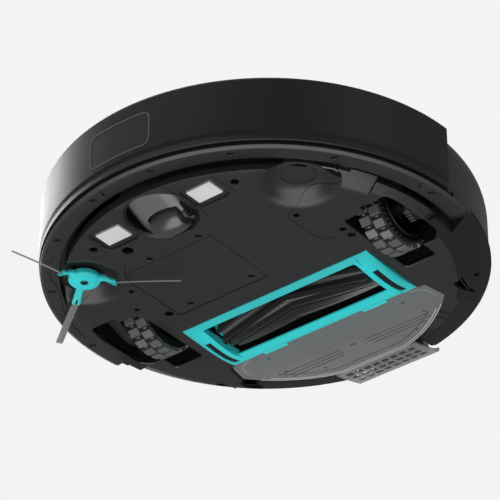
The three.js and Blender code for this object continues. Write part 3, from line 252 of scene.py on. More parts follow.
def combine(target, tools, how="DIFFERENCE"):
    for tool in tools:
        change = target.modifiers.new(how, "BOOLEAN")
        change.object, change.operation, change.solver = tool, how, "EXACT"
    settle(target)
    for tool in tools:
        bpy.data.objects.remove(tool)
    return target


def gather(parts):  # puts several meshes into one object without cutting them
    work = bmesh.new()
    for part in parts:
        work.from_mesh(part.data)
    work.to_mesh(parts[0].data)
    work.free()
    for part in parts[1:]:
        bpy.data.objects.remove(part)
    return parts[0]


def bevel(made, width, segments=2, angle=30):
    edge = made.modifiers.new("edge", "BEVEL")
    edge.width, edge.segments, edge.limit_method = width * mm, segments, "ANGLE"
    edge.angle_limit, edge.miter_outer = math.radians(angle), "MITER_ARC"
    settle(made)
    return made


def fit(made, name, rides, finish, replaces=(), angle=35, flat=None):
    made.name = made.data.name = name
    made.data.materials.clear()
    made.data.materials.append(finish)
    made.data.shade_smooth()
    made.data.set_sharp_from_angle(angle=math.radians(angle))
    if flat:  # broad level faces keep their own shading, so that the hollows beside them read
        for face in made.data.polygons:
            if face.area > flat * mm * mm and abs(face.normal.z) > 0.9995:
                face.use_smooth = False
    else:
        even = made.modifiers.new("normals", "WEIGHTED_NORMAL")
        even.keep_sharp = True
        settle(made)
    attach(made, rides)
    if replaces:
        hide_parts(*replaces)
    return made


# finishes

def linear(*levels):
    return tuple((v / 255 / 12.92) if v <= 10 else ((v / 255 + 0.055) / 1.055) ** 2.4 for v in levels)


# moulded plastic: a spark-eroded grain, faint unevenness of tone, and hairlines if asked
def moulded(name, colour, rough, grain=0.3, bump=0.06, mottle=0.08, gloss=0.3, scratch=0.0):
    finish = bpy.data.materials.new(name)
    finish.use_nodes = True
    nodes, links = finish.node_tree.nodes, finish.node_tree.links
    shader = nodes["Principled BSDF"]
    shader.inputs["Specular IOR Level"].default_value = gloss
    place = nodes.new("ShaderNodeTexCoord")
    tone = nodes.new("ShaderNodeTexNoise")
    tone.inputs["Scale"].default_value, tone.inputs["Detail"].default_value = 22, 3
    links.new(place.outputs["Object"], tone.inputs["Vector"])
    mix = nodes.new("ShaderNodeMix")
    mix.data_type = "RGBA"
    base = linear(*colour)
    mix.inputs["A"].default_value = (*[c * (1 - mottle) for c in base], 1)
    mix.inputs["B"].default_value = (*[c * (1 + mottle) for c in base], 1)
    links.new(tone.outputs["Fac"], mix.inputs["Factor"])
    links.new(mix.outputs["Result"], shader.inputs["Base Color"])
    fine = nodes.new("ShaderNodeTexNoise")
    fine.inputs["Scale"].default_value, fine.inputs["Detail"].default_value = 1 / (grain * mm), 2
    links.new(place.outputs["Object"], fine.inputs["Vector"])
    spread = nodes.new("ShaderNodeMapRange")
    spread.inputs["To Min"].default_value, spread.inputs["To Max"].default_value = rough - 0.06, rough + 0.06
    links.new(tone.outputs["Fac"], spread.inputs["Value"])
    links.new(spread.outputs["Result"], shader.inputs["Roughness"])
    relief = nodes.new("ShaderNodeBump")
    relief.inputs["Strength"].default_value, relief.inputs["Distance"].default_value = bump, 0.05 * mm
    links.new(fine.outputs["Fac"], relief.inputs["Height"])
    links.new(relief.outputs["Normal"], shader.inputs["Normal"])
    if scratch:
        lines = nodes.new("ShaderNodeTexNoise")
        lines.inputs["Scale"].default_value, lines.inputs["Detail"].default_value = 60, 4
        stretch = nodes.new("ShaderNodeMapping")
        stretch.inputs["Scale"].default_value = (1, 14, 1)
        links.new(place.outputs["Object"], stretch.inputs["Vector"])
        links.new(stretch.outputs["Vector"], lines.inputs["Vector"])
        second = nodes.new("ShaderNodeBump")
        second.inputs["Strength"].default_value, second.inputs["Distance"].default_value = scratch, 0.03 * mm
        links.new(lines.outputs["Fac"], second.inputs["Height"])
        links.new(relief.outputs["Normal"], second.inputs["Normal"])
        links.new(second.outputs["Normal"], shader.inputs["Normal"])
    return finish


def metal(name, colour, rough, brush=0.15, sheen=1.0):
    finish = moulded(name, colour, rough, grain=0.5, bump=0.03, mottle=0.05, gloss=0.5, scratch=brush)
    finish.node_tree.nodes["Principled BSDF"].inputs["Metallic"].default_value = sheen
    return finish


def smoky(name, colour, rough, opacity):  # clear smoked plastic that lets the pieces behind it show through
    finish = moulded(name, colour, rough, grain=0.8, bump=0.03, mottle=0.12, gloss=0.5)
    finish.node_tree.nodes["Principled BSDF"].inputs["Alpha"].default_value = opacity
    finish.surface_render_method = "BLENDED"
    return finish


matt = moulded("chassisPlastic", (26, 26, 27), 0.38, gloss=0.55)
wallPlastic = moulded("bumperPlastic", (21, 21, 22), 0.42, bump=0.04, gloss=0.36)
# a lighter copy of the chassis plastic: painted highlight along the ring's outer chamfer
chamferHighlightPlastic = moulded("chamferHighlightPlastic", (42, 42, 43), 0.36, gloss=0.5)
skirtPlastic = moulded("skirtPlastic", (37, 37, 38), 0.7, gloss=0.08)
screwBlack = moulded("screwBlack", (22, 22, 23), 0.55, gloss=0.25)
innerPlastic = moulded("innerPlastic", (17, 17, 18), 0.55, gloss=0.25)
glossPlastic = moulded("coverPlastic", (20, 20, 22), 0.12, bump=0.01, mottle=0.03, gloss=0.5)
windowPlastic = moulded("windowPlastic", (32, 32, 33), 0.4, bump=0.01, mottle=0.03, gloss=0.36)
rimPlastic = moulded("windowRimPlastic", (90, 90, 92), 0.4, gloss=0.4)
turquoise = moulded("turquoisePlastic", (56, 204, 206), 0.42, bump=0.05, mottle=0.03, gloss=0.3)
greyPlastic = moulded("casterPlastic", (51, 51, 51), 0.3, bump=0.02, mottle=0.03, gloss=0.9)
armPlastic = moulded("armPlastic", (24, 24, 25), 0.5, gloss=0.25)
# near-black: painted shade inside the screw holes
holeShadeFinish = moulded("holePaintedShade", (6, 6, 7), 0.7, gloss=0.1)
# light grey of the wheel arm brackets, also laid on the ledge beside the second dish as a painted highlight
bracketGreyAndLedgeHighlight = moulded("bracketGreyAndLedgeHighlight", (74, 74, 75), 0.35, gloss=0.6)
treadRubber = moulded("treadRubber", (80, 80, 80), 0.34, grain=0.5, bump=0.06, mottle=0.08, gloss=0.9)
vaneRubber = moulded("vaneRubber", (58, 58, 58), 0.34, grain=0.5, bump=0.04, mottle=0.06, gloss=0.7)
tipRubber = moulded("tipRubber", (17, 17, 17), 0.6, grain=0.5, bump=0.04, mottle=0.06, gloss=0.15)
bristleNylon = moulded("bristleNylon", (118, 119, 120), 0.5, grain=0.2, bump=0.2, mottle=0.12,
                       gloss=0.3, scratch=0.3)
contactMetal = metal("contactMetal", (226, 226, 228), 0.42, sheen=0.35)
steel = metal("screwSteel", (70, 71, 73), 0.42)
binClear = smoky("binClear", (122, 122, 122), 0.2, 0.76)
# lighter and darker copies of the clear bin plastic: painted highlights and painted shade on the ribs and lines
# under the bin
binHighlight = smoky("binHighlight", (186, 186, 187), 0.16, 0.85)
binPaintedShade = smoky("binPaintedShade", (84, 84, 85), 0.2, 0.8)
binRibHighlight = smoky("binRibHighlight", (128, 128, 129), 0.2, 0.8)
binRibShade = smoky("binRibShade", (111, 111, 112), 0.2, 0.8)
paper = moulded("filterPaper", (205, 207, 203), 0.9, grain=0.4, bump=0.3, mottle=0.06, gloss=0.1)
sleeve = moulded("batterySleeve", (44, 76, 138), 0.4)
boardGreen = moulded("circuitBoard", (20, 92, 56), 0.45)
print("finishes ready")

# studio

studio = {
    "aim": (0.3, -21.2, 33.4), "azimuth": 39.01, "elevation": -34.27, "distance": 2176.2, "lens": 206.17,
    "pale": (0.90, 0.90, 0.905), "ambient": 0.25, "sensor": 36, "lampAim": (0, 0, 0.04),
    "floorHalf": 4000, "floorAt": -0.3, "floorTones": ((0.79, 0.79, 0.8, 1), (0.82, 0.82, 0.83, 1)),
    "floorRough": 0.9,
    "lamps": {  # where each soft box stands (metres), its width and its power
        "softTop": ((-0.3, -0.7, 1.8), 1.8, 9),
        "softUnder": ((0.2, -0.45, -1.85), 2.6, 50),
        "softLeft": ((-1.5, 0.62, 1.16), 1.9, 62),
        "softBack": ((1.9, -0.2, 1.0), 1.2, 2),
    },
}


def turnedTo(spot, target):
    return (Vector(target) - Vector(spot)).to_track_quat("-Z", "Y").to_euler()


def buildStudio(s):
    a, e = math.radians(s["azimuth"]), math.radians(s["elevation"])
    back = Vector((math.sin(a) * math.cos(e), -math.cos(a) * math.cos(e), math.sin(e)))
    eye = bpy.data.objects.new("camera", bpy.data.cameras.new("camera"))
    bpy.context.scene.collection.objects.link(eye)
    eye.location = (Vector(s["aim"]) + back * s["distance"]) * mm
    eye.rotation_mode = "QUATERNION"
    eye.rotation_quaternion = (-back).to_track_quat("-Z", "Y")
    eye.data.lens, eye.data.sensor_width = s["lens"], s["sensor"]
    bpy.context.scene.camera = eye

    for name, (spot, size, power) in s["lamps"].items():
        light = bpy.data.lights.new(name, "AREA")
        light.shape, light.size, light.energy = "SQUARE", size, power
        lamp = bpy.data.objects.new(name, light)
        lamp.location, lamp.rotation_euler = spot, turnedTo(spot, s["lampAim"])
        bpy.context.scene.collection.objects.link(lamp)

    world = bpy.data.worlds.new("studio")
    bpy.context.scene.world = world
    world.use_nodes = True
    nodes, links = world.node_tree.nodes, world.node_tree.links
    light = nodes["Background"]
    light.inputs["Color"].default_value, light.inputs["Strength"].default_value = (1, 1, 1, 1), s["ambient"]
    seen = nodes.new("ShaderNodeBackground")
    seen.inputs["Color"].default_value = (*s["pale"], 1)
    links.new(anyOf(nodes, links, "Is Camera Ray", "Is Transmission Ray"), mixShaders(nodes, links, light, seen,
        nodes["World Output"]))

    # the floor lets itself be seen only from above, so that the low camera looks at the underside
    half, low = s["floorHalf"], s["floorAt"]
    floor = solid([(-half, -half, low), (half, -half, low), (half, half, low), (-half, half, low)], [(0, 1, 2, 3)])
    floor.name = "floor"
    pale = bpy.data.materials.new("floor")
    pale.use_nodes = True
    nodes, links = pale.node_tree.nodes, pale.node_tree.links
    surface = nodes["Principled BSDF"]
    surface.inputs["Roughness"].default_value = s["floorRough"]
    speck = nodes.new("ShaderNodeTexNoise")
    speck.inputs["Scale"].default_value = 3
    shade = nodes.new("ShaderNodeMix")
    shade.data_type = "RGBA"
    shade.inputs["A"].default_value, shade.inputs["B"].default_value = s["floorTones"]
    links.new(speck.outputs["Fac"], shade.inputs["Factor"])
    links.new(shade.outputs["Result"], surface.inputs["Base Color"])
    clear = nodes.new("ShaderNodeBsdfTransparent")
    side = nodes.new("ShaderNodeNewGeometry")
    through = anyOf(nodes, links, "Is Shadow Ray", "Is Glossy Ray", "Is Transmission Ray",
                    more=side.outputs["Backfacing"])
    links.new(through, mixShaders(nodes, links, surface, clear, nodes["Material Output"]))
    floor.data.materials.append(pale)


def anyOf(nodes, links, *rays, more=None):
    path = nodes.new("ShaderNodeLightPath")
    total = more
    for ray in rays:
        if total is None:
            total = path.outputs[ray]
            continue
        either = nodes.new("ShaderNodeMath")
        either.operation = "MAXIMUM"
        links.new(total, either.inputs[0])
        links.new(path.outputs[ray], either.inputs[1])
        total = either.outputs[0]
    return total


def mixShaders(nodes, links, first, second, output):
    mix = nodes.new("ShaderNodeMixShader")
    links.new(first.outputs[0], mix.inputs[1])
    links.new(second.outputs[0], mix.inputs[2])
    links.new(mix.outputs[0], output.inputs["Surface"])
    return mix.inputs["Fac"]


buildStudio(studio)
bpy.context.scene.view_settings.view_transform = "Standard"
print("studio ready")

# front bumper

bumper = {
    "sweep": 88.5, "wallLow": 22.0, "chamferTop": 28.6, "chamferIn": 1.1, "topRound": 3.2, "wall": 2.4,
    "lipIn": 160.0, "windowSweep": 9.3, "paneSweep": 11, "window": (35.0, 64.5), "windowCorner": 6.0, "groove": 0.5,
    "windowCut": (-190, -174.6, -174.1, -140), "rimGrow": (0.35, -0.45),
    "ringSweep": 97.0, "ringIn": 158.0, "ringFlat": 170.2, "ringOut": 172.9, "edgeTall": 1.8,
    "screws": (-85, -56.5, -32, -11.5, 8, 29.5, 55.5, 85), "screwAt": 165.6,
    "screwWell": (2.9, 2.5), "screwHead": (2.1, 1.3), "slitWide": 1.5, "seamWide": 0.75,
    "slits": (-7.5, 80.5), "slitLean": ((-0.5, 163.4), (0.0, 166.4), (0.7, 169.2)),
    "seam": [(-82, 157), (-80.5, 164), (-70, 164.6), (-61, 160.6), (-54, 160.6), (-50, 165), (-43, 166.4),
             (-39, 163.5)],
}


def buildBumper(b):
    r, top = body["radius"], body["top"]
    inner = r - b["wall"]
    outer = [
        (r - b["chamferIn"], b["wallLow"]), (r - b["chamferIn"] + 0.5, b["wallLow"] + 0.4),
        (r - b["chamferIn"], b["chamferTop"] - 1.2),
        (r - b["chamferIn"] + 0.1, b["chamferTop"] - 0.9), (r - 0.05, b["chamferTop"] + 1.7),
        (r, b["chamferTop"] + 2.2),
    ] + [(x, z) for x, z in arcPoints(r - b["topRound"], top - b["topRound"], b["topRound"], 0, 62, 6)]
    lipTop = outer[-1]
    profile = [(b["lipIn"], body["ringTop"] + 0.35), (inner - 0.8, body["ringTop"] + 0.35),
               (inner - 0.8, b["wallLow"])] + outer + [
        (lipTop[0] - 0.6, top), (inner, top - 0.3), (inner, b["wallLow"] + 0.6), (b["lipIn"], b["wallLow"] + 0.6)]
    shell = turn(profile, 240, -b["sweep"], b["sweep"])
    low, high = b["window"]
    half = r * math.sin(math.radians(b["windowSweep"]))
    frameShape = softRect(-half - b["groove"], half + b["groove"], low - b["groove"], high + b["groove"],
                          b["windowCorner"] + b["groove"])
    far, proud, flush, near = b["windowCut"]
    out, back = b["rimGrow"]
    combine(shell, [wallOf(frameShape, [(far, out), (proud, out), (flush, 0), (near, 0)])])
    fit(shell, "bumperWall", "bumper", wallPlastic, ["bumper_shell"])

    window = softRect(-half, half, low, high, b["windowCorner"])
    pane = ringPart(inner + 0.2, r - 0.15, low - 4, high + 4, -b["paneSweep"], b["paneSweep"], 720)
    combine(pane, [wallOf(window, [(far, 0), (near, 0)])], "INTERSECT")
    fit(pane, "bumperWindow", "bumper", windowPlastic, ["bumper_window"])
    rim = ringPart(r - 0.5, r + 0.12, low - 4, high + 4, -b["paneSweep"], b["paneSweep"], 720)
    combine(rim, [wallOf(window, [(far, out), (near, out)])], "INTERSECT")
    combine(rim, [wallOf(window, [(far, back), (near, back)])])
    fit(rim, "windowRim", "bumper", rimPlastic)

    zl, zt = body["ringLow"], body["ringTop"]
    ring = turn([
        (b["ringIn"], zl + 0.5), (b["ringIn"] + 0.4, zl + 0.1), (b["ringFlat"] - 0.5, zl + 0.1),
        (b["ringFlat"], zl + 0.35),
        (b["ringOut"] - 0.2, zl + b["edgeTall"] - 0.3), (b["ringOut"], zl + b["edgeTall"]),
        (b["ringOut"] - 1.6, zl + b["edgeTall"] + 0.3), (b["ringOut"] - 1.6, zt), (b["ringIn"], zt)],
        240, -b["ringSweep"], b["ringSweep"])
    wells, heads = [], []
    wide, deep = b["screwWell"]
    for a in b["screws"]:
        x, y = onCircle(a, b["screwAt"])
        wells.append(turn([(0, zl - 1), (wide, zl - 1), (wide, zl), (deep, zl + 0.5), (deep, zl + 1.5),
                           (0, zl + 1.5)], 20, about=(x, y)))
        heads.append(screwHead(x, y, zl + 0.35, *b["screwHead"]))
    combine(ring, [gather(wells)])
    marks = []
    for a in b["slits"]:
        path = [onCircle(a + lean * (1 if a < 0 else -1), r) for lean, r in b["slitLean"]]
        marks.append(strip(path, b["slitWide"], zl - 1, zl + 1.2))
    marks.append(strip([onCircle(a, r) for a, r in b["seam"]], b["seamWide"], zl - 1, zl + 0.8))
    combine(ring, marks)
    fit(ring, "bumperRing", "bumper", matt, ["bumper_ring"])
    fit(gather(heads), "ringScrews", "bumper", screwBlack)
    # a thin lighter skin over the ring's outer chamfer: a painted highlight
    tall = zl + b["edgeTall"]
    edge = turn([(b["ringFlat"] + 0.15, zl + 0.4), (b["ringFlat"] + 0.2, zl + 0.3),
                 (b["ringOut"] - 0.1, tall - 0.4), (b["ringOut"] + 0.1, tall), (b["ringOut"] - 0.3, tall + 0.05)],
                240, -b["ringSweep"], b["ringSweep"])
    fit(edge, "ringEdgeHighlight", "bumper", chamferHighlightPlastic)


def onCircle(angle, r):
    t = math.radians(angle)
    return (r * math.sin(t), -r * math.cos(t))


def screwHead(x, y, low, r, tall):  # a pan head that faces down, with a cross recess
    head = turn([(0, low), (r * 0.7, low), (r, low + 0.45), (r, low + tall), (0, low + tall)], 20, about=(x, y))
    arms = [pad(0, 0, a, b, 0.05, 1) for a, b in ((r * 0.62, r * 0.13), (r * 0.13, r * 0.62))]
    return combine(head, [prism([(px + x, py + y) for px, py in c], [(low - 1, 0), (low + 0.6, 0)]) for c in arms])


buildBumper(bumper)
print("bumper built")

# chassis pan and skirt

pan = {
    "radius": 154.4, "plate": 2.2, "sweep": 91.8, "pocketEnd": 100.6,
    "dishAt": (103.07, -92.81), "dishRadius": 29.5, "dishDepth": 8.8, "discRadius": 12.6, "brushHole": 4.6,
    "slotFlare": 0.7, "bay": (89.8, 5.7, 71.2), "binHalf": 95.6, "binSplay": 4.0, "binCorner": 93.0,
    "binRear": 136.6, "binFlat": 30.0,
    "tyreSlot": (-14.5, 13.0, 39.0), "armSlot": (5.0, 146.1, 45.5, 22.5),
    "panelHalf": 103.0, "casterHole": 26.3, "casterFlare": 28.4,
    "contact": (43.7, -127.0), "contactRim": (31.0, 27.0, 6.5), "contactPocket": (22.9, 16.4),
    "screwHoles": [(69, -123.5, 3.2), (-67.5, -122.5, 3.2), (-48.5, -105.5, 4.4), (4, -86.5, 2.5),
                   (-43.5, -86.5, 2.5), (-83, -62, 2.1), (77.5, -62.5, 2.5),
                   (-58.5, -20.5, 2.5), (1, -20.5, 2.5), (-80.5, -20, 3.2), (-96, -40, 2.1), (93, -27, 2.5),
                   (94, -17.5, 3.2)],
    "line": 0.55, "lineDeep": 0.5, "rearFlat": 144.5, "rearSlope": [(148, 1.75), (157, 7.1), (166, 12.7),
        (169.4, 14.9)],
    "gaps": [(-88.5, -50), (-38.5, -5.2), (3.8, 61.5), (78, 90.5)], "gapLow": 15.9, "gapWide": (148.5, 157.0),
    "tabWide": (150.0, 157.0), "tabs": [(-4.6, 3.2), (71.5, 77)], "tabGap": (16.9, 18.9),
    "ledge": (31.4, 59.0), "ledgeFrom": (148.3, 150.6, 154.4), "ledgeRise": 4.4, "bowlSeam": 0.55,
    "slopes": (50.5, 91.4), "slopeStep": 69.5, "slopeFrom": (142.0, 146.5), "slopePitch": 0.55,
    "lipSweep": (61.5, 69.4), "lip": 1.9,
    "latch": [(111.5, 118), (123.4, 82.8), (113.4, 83.2)], "latchTop": 20.0, "latchRound": (1, 1.5, 1.5),
    "latchHole": (128.5, 95.2, 3.0),
    "latchRibs": [[(113.6, 104), (117.6, 86)], [(115.6, 104), (120.6, 87)]],
    "seams": [[(133.6, -79.5), (120, -72.7), (101, -77.5), (72.5, -67), (71, -60), (71.5, -32), (76, -24.5),
               (85, -22.5)],
              [(-133.6, -79.5), (-120, -72.7), (-101, -77.5), (-72.5, -67), (-71, -60), (-71.5, -32), (-76, -24.5),
               (-85, -22.5)],
              [(60.5, -141.5), (62.5, -113.5)], [(-60.5, -141.5), (-62.5, -113.5)],
              [(24.5, -152), (30, -118), (27, -104)]],
}


def hatchShape(grow=0.0):
    (right, left), (front, rear) = [(lowest("battery_hatch", axis), highest("battery_hatch", axis))
        for axis in (0, 1)]
    corner = Vector((right + 7, front))
    bow = bend(Vector((right, front + 25)), corner, Vector((right + 30, front)), 12)
    return grown(softened([(right, rear)] + bow + [(left, front), (left, rear)], [2.5] + [0.6] * 13
                          + [2.5, 2.5], 3), grow)


def binShape(p, inset=0.0):
    half, c, rear, flat = p["binHalf"], p["binCorner"], p["binRear"], p["binFlat"]
    right = [(half, 71.2), (half + p["binSplay"], c), (half - 1, c + 6)]
    side = right + bend(Vector(right[-1]), Vector((half * 0.66, rear - 7)), Vector((flat, rear)), 12, 1)
    return grown(side + mirrored(side), -inset)


def wheelShapes(p, side):
    x0, x1, reach = p["tyreSlot"]
    tyre = softRect(wheelAt[0] + x0, wheelAt[0] + x1, wheelAt[1] - reach, wheelAt[1] + reach, 3, 4)
    inner, outer, front, rear = p["armSlot"]
    inner, front, rear = wheelAt[0] + inner, wheelAt[1] - front, wheelAt[1] + rear
    hub = softened([(inner, front), (outer - 3.5, front), (outer, front + 17), (outer, rear - 9),
                    (outer - 7.5, rear), (inner, rear)], [1, 4, 4, 5, 4, 1], 4)
    return [tyre, hub] if side > 0 else [mirrored(tyre), mirrored(hub)]


def panEdge(p, fold, side):  # the edge from the flat underside up to the gap, by the angle from the front
    z, r = body["under"], p["radius"]
    if side > 0 and p["slopes"][0] < fold < p["slopes"][1]:
        start = p["slopeFrom"][0] if fold < p["slopeStep"] else p["slopeFrom"][1]
        over = p["radius"] + (p["lip"] if p["lipSweep"][0] < fold < p["lipSweep"][1] else 0)
        rise = (over - start) * p["slopePitch"]
        return [(0, z), (start - 2, z), (start, z + 0.1), (start + 2.5, z + 0.1 + 1.1),
                ((start + over) / 2, z + 0.55 + rise * 0.47), (over - 0.2, z + rise - 0.1), (over, z + rise + 0.1)]
    return [(0, z), (140, z), (r - 0.7, z), (r - 0.25, z + 0.12), (r - 0.05, z + 0.4), (r, z + 0.8), (r, z + 5)]


def buildChassis(p):
    z, top, rim = body["under"], body["flangeTop"], body["skirtRadius"] - 0.3
    r, wallIn, shellR = p["radius"], p["radius"] - p["plate"], body["shellRadius"]
    plateTop = z + p["plate"]
    inside = [(wallIn, z + 7.6), (r - 13, plateTop), (0, plateTop)]
    rear = [(0, z), (p["rearFlat"] - 2, z), (p["rearFlat"], z + 0.15)] + [(q, z + h) for q, h in p["rearSlope"]]
    rear += [(rim - 0.25, z + 16), (rim, z + 16.6), (rim - 0.1, top - 0.1), (168.6, top - 0.1), (165.5, z + 14.6),
             (148, plateTop + 1.4), (0, plateTop)]
    angles = [i * 1.5 for i in range(240)]
    cuts = [p["sweep"], p["pocketEnd"]]
    breaks = [*p["slopes"], p["slopeStep"], *p["lipSweep"]]
    angles += [side for c in cuts for a in (c - 0.02, c + 0.02) for side in (a, 360 - a)] + [a for c in breaks
        for a in (c - 0.02, c + 0.02)]
    rings = []
    for a in sorted(angles):
        fold, side = min(a, 360 - a), 1 if a < 180 else -1
        edge = panEdge(p, fold, side)
        if fold < cuts[0]:
            shape = edge + [(r, top - 2.2), (shellR, top - 2.2), (shellR, top - 0.1), (wallIn, top - 0.1)] + inside
        elif fold < cuts[1]:
            shape = edge + [(r, z + 12.3), (rim, z + 12.3), (rim, top - 0.1), (wallIn, top - 0.1)] + inside
        else:
            shape = rear
        rings.append(placed(shape, a))
    pan = skin(rings + rings[:1], caps=False)

    # plate behind the dishes and the latch pockets
    backs = []
    for side in (1, -1):
        dish = turn([(0, z + 0.6), (p["dishRadius"] + 2, z + 0.6), (p["dishRadius"] + 2, z + 4), (15, z + 11),
                     (0, z + 11)], 48, about=(side * p["dishAt"][0], p["dishAt"][1]))
        backs.append(combine(dish, [post(wallIn + 1, z, z + 30, 160)], "INTERSECT"))
        corners = softened(p["latch"], p["latchRound"], 3)
        around = prism(corners if side > 0 else mirrored(corners), [(z + 0.4, 1.6), (p["latchTop"] + 1.6, 1.6)])
        above = turn([(0, z)] + [(q, h + 0.3) for q, h in rear[1:8]] + [(rim, z + 30), (0, z + 30)], 240)
        backs.append(combine(around, [above], "INTERSECT"))
    for back in backs:
        combine(pan, [back], "UNION")

    tools = []
    for side in (1, -1):
        for shape in wheelShapes(p, side):
            tools.append(prism(shape, [(z - 3, p["slotFlare"] + 3), (z + p["slotFlare"], 0), (z + 9, 0)]))
        dx, dy = side * p["dishAt"][0], p["dishAt"][1]
        d, deep = p["dishRadius"], p["dishDepth"]
        bowl = [(0, z - 1), (d + 4, z - 1), (d + 3, z - 0.02), (d + 0.6, z + 0.25), (d - 1.5, z + 1.0),
                (d - 3.6, z + 2.4), (d - 6.5, z + 4.8),
                (d - 10, z + 7.1), (d - 13, z + 8.2), (p["discRadius"] + 0.4, z + deep),
                (p["discRadius"] + 0.35, z + deep + 0.6), (p["discRadius"] - 0.15, z + deep + 0.6),
                (p["discRadius"] - 0.2, z + deep), (0, z + deep)]
        tools.append(turn(bowl, 96, about=(dx, dy)))
        cx, cy = p["contact"]
        w, h, c = p["contactRim"]
        tools.append(prism(pad(side * cx, cy, w / 2, h / 2, c), [(z - 1, 0.5), (z + 0.15, 0.4), (z + 1.6, -0.3)]))
        w, h = p["contactPocket"]
        tools.append(prism(pad(side * cx, cy, w / 2, h / 2, 0.6, 2), [(z - 1, 0), (z + 9, 0)]))
        corners = softened(p["latch"], p["latchRound"], 3)
        tools.append(prism(corners if side > 0 else mirrored(corners), [(z - 1, 0), (p["latchTop"], 0)]))
        hx, hy, q = p["latchHole"]
        tools.append(turn([(0, z - 1), (q + 0.9, z + 5.5), (q, z + 8.5), (q, p["latchTop"]), (0, p["latchTop"])],
                          32, about=(side * hx, hy)))
    for tool in tools:
        combine(pan, [tool])

    bay, bin0 = p["bay"], binShape(p, -0.1)
    openings = [
        block(-bay[0], bay[0], bay[1], bay[2] + 0.1, [(z - 4, 4.4), (z + 0.4, 0), (z + 9, 0)]),
        prism(bin0, [(z - 3, 3.6), (z + 0.6, 0), (z + 28, 0)]),
        block(-p["panelHalf"], p["panelHalf"], p["binCorner"], 200, [(z - 3, 0), (z + 28, 0)]),
        turn([(0, z - 1), (p["casterFlare"] + 1, z - 1), (p["casterFlare"], z), (p["casterHole"] + 0.5, z + 1.9),
              (p["casterHole"], z + 2.6), (p["casterHole"], z + 19), (0, z + 19)],
             96, about=(casterAt[0], casterAt[1])),
        post(p["brushHole"], z, z + 14, 32, (-p["dishAt"][0], p["dishAt"][1])),
        prism(hatchShape(), [(z - 1, 0.35), (z + 0.4, 0.3), (z + 9, 0.3)]),
    ]
    # the gap behind the bumper ring runs between tabs
    openings += [ringPart(*p["gapWide"], p["gapLow"], top - 2.3, start, end) for start, end in p["gaps"]]
    openings += [ringPart(*p["tabWide"], *p["tabGap"], start, end) for start, end in p["tabs"]]
    for opening in openings:
        combine(pan, [opening])
    q0, q1, q2 = p["ledgeFrom"]
    start, end = p["ledge"]
    ledge = []
    for k in range(25):
        a = start + (end - start) * k / 24
        x, y = onCircle(a, q1)
        away = math.hypot(x - p["dishAt"][0], y - p["dishAt"][1])
        low = z + deep
        if k > 12:
            for (r0, h0), (r1, h1) in zip(bowl[3:9], bowl[4:10]):
                if r1 <= away <= r0:
                    low = h1 + (h0 - h1) * (away - r1) / (r0 - r1)
        shape = [(q0, low), (q1, low), (q2, low + p["ledgeRise"]), (q2, top - 0.2), (q0, top - 0.2)]
        ledge.append(placed(shape, a))
    combine(pan, [skin(ledge)], "UNION")

    # each screw hole is closed from inside by a near-black cup, painted shade for the dark depth of the hole
    holes, cups = [], []
    for x, y, q in p["screwHoles"]:
        holes.append(turn([(0, z - 1), (q + 0.5, z - 1), (q + 0.1, z), (q, z + 0.15), (q, z + 3), (0, z + 3)], 28,
                          about=(x, y)))
        cups.append(turn([(q + 0.9, z + 2.1), (q + 0.9, z + 9), (0, z + 9), (0, z + 8), (q + 0.02, z + 8),
                          (q + 0.02, z + 2.1)], 28, about=(x, y)))
    combine(pan, [gather(holes)])
    for path in p["seams"]:
        combine(pan, [strip(smoothPath(path), p["line"], z - 0.5, z + p["lineDeep"])])
    for side, path in zip((1, -1), p["seams"]):  # the first two seams run on across the dishes
        seam = strip(smoothPath(path), p["line"], z + 0.2, z + 12)
        profile = [(q, h + p["bowlSeam"]) for q, h in bowl[3:9]] + [
            (0, z + deep + p["bowlSeam"]), (0, z - 1), (d + 0.6, z - 1)]
        grownBowl = turn(profile, 96, about=(side * p["dishAt"][0], p["dishAt"][1]))
        combine(pan, [combine(seam, [grownBowl], "INTERSECT")])
    fit(pan, "chassisPan", "robot_body", matt, ["chassis_base"], angle=28, flat=60)
    pan.data.materials.append(skirtPlastic)  # the rear slope is duller than the flat underside
    pan.data.materials.append(bracketGreyAndLedgeHighlight)  # and the outward faces of the ledge beside the second dish take the lighter grey, a painted highlight
    for face in pan.data.polygons:
        away = face.center.xy.length
        if face.center.y > 0 and away > (p["rearFlat"] + 1) * mm and face.normal.z < -0.3:
            face.material_index = 1
        onLedge = start < math.degrees(math.atan2(face.center.x, -face.center.y)) < end
        outward = face.normal.xy.dot(face.center.xy) > 0.3 * away
        # painted highlight: the outward faces of the ledge get the lighter grey
        if onLedge and outward and away > q1 * mm and face.normal.z < -0.3:
            face.material_index = 2
    fit(gather(cups), "screwHoleShade", "robot_body", holeShadeFinish)

    ribs = []
    for side in (1, -1):
        for path in p["latchRibs"]:
            ribs.append(strip([(side * x, y) for x, y in path], 0.9, z + 5.5, p["latchTop"]))
    fit(gather(ribs), "latchRibs", "robot_body", matt)


def smoothPath(corners, steps=6):  # runs a line through the given points with rounded turns
    points = [corners[0]]
    for before, here, after in zip(corners, corners[1:], corners[2:]):
        a, p, b = Vector(before), Vector(here), Vector(after)
        reach = min((a - p).length, (b - p).length) * 0.45
        start, end = p + (a - p).normalized() * reach, p + (b - p).normalized() * reach
        points += bend(start, p, end, steps)
    return points + [corners[-1]]


buildChassis(pan)
print("chassis built")

# upper shell and top panel

shell = {
    "coverRadius": 160.1, "deck": 1.5, "roundTall": 18.0, "roundWide": 8.5, "wall": 2.8, "sweep": 89.7,
    "bayHalf": 102.9, "bayTop": 59.6,
    "turretHole": 34.0, "buttonHole": 4.0, "panelEdge": 1.1, "panelRim": 0.35, "seatGap": 0.45,
    "panelGroove": (9.0, 9.3, 9.9, 10.2),
}


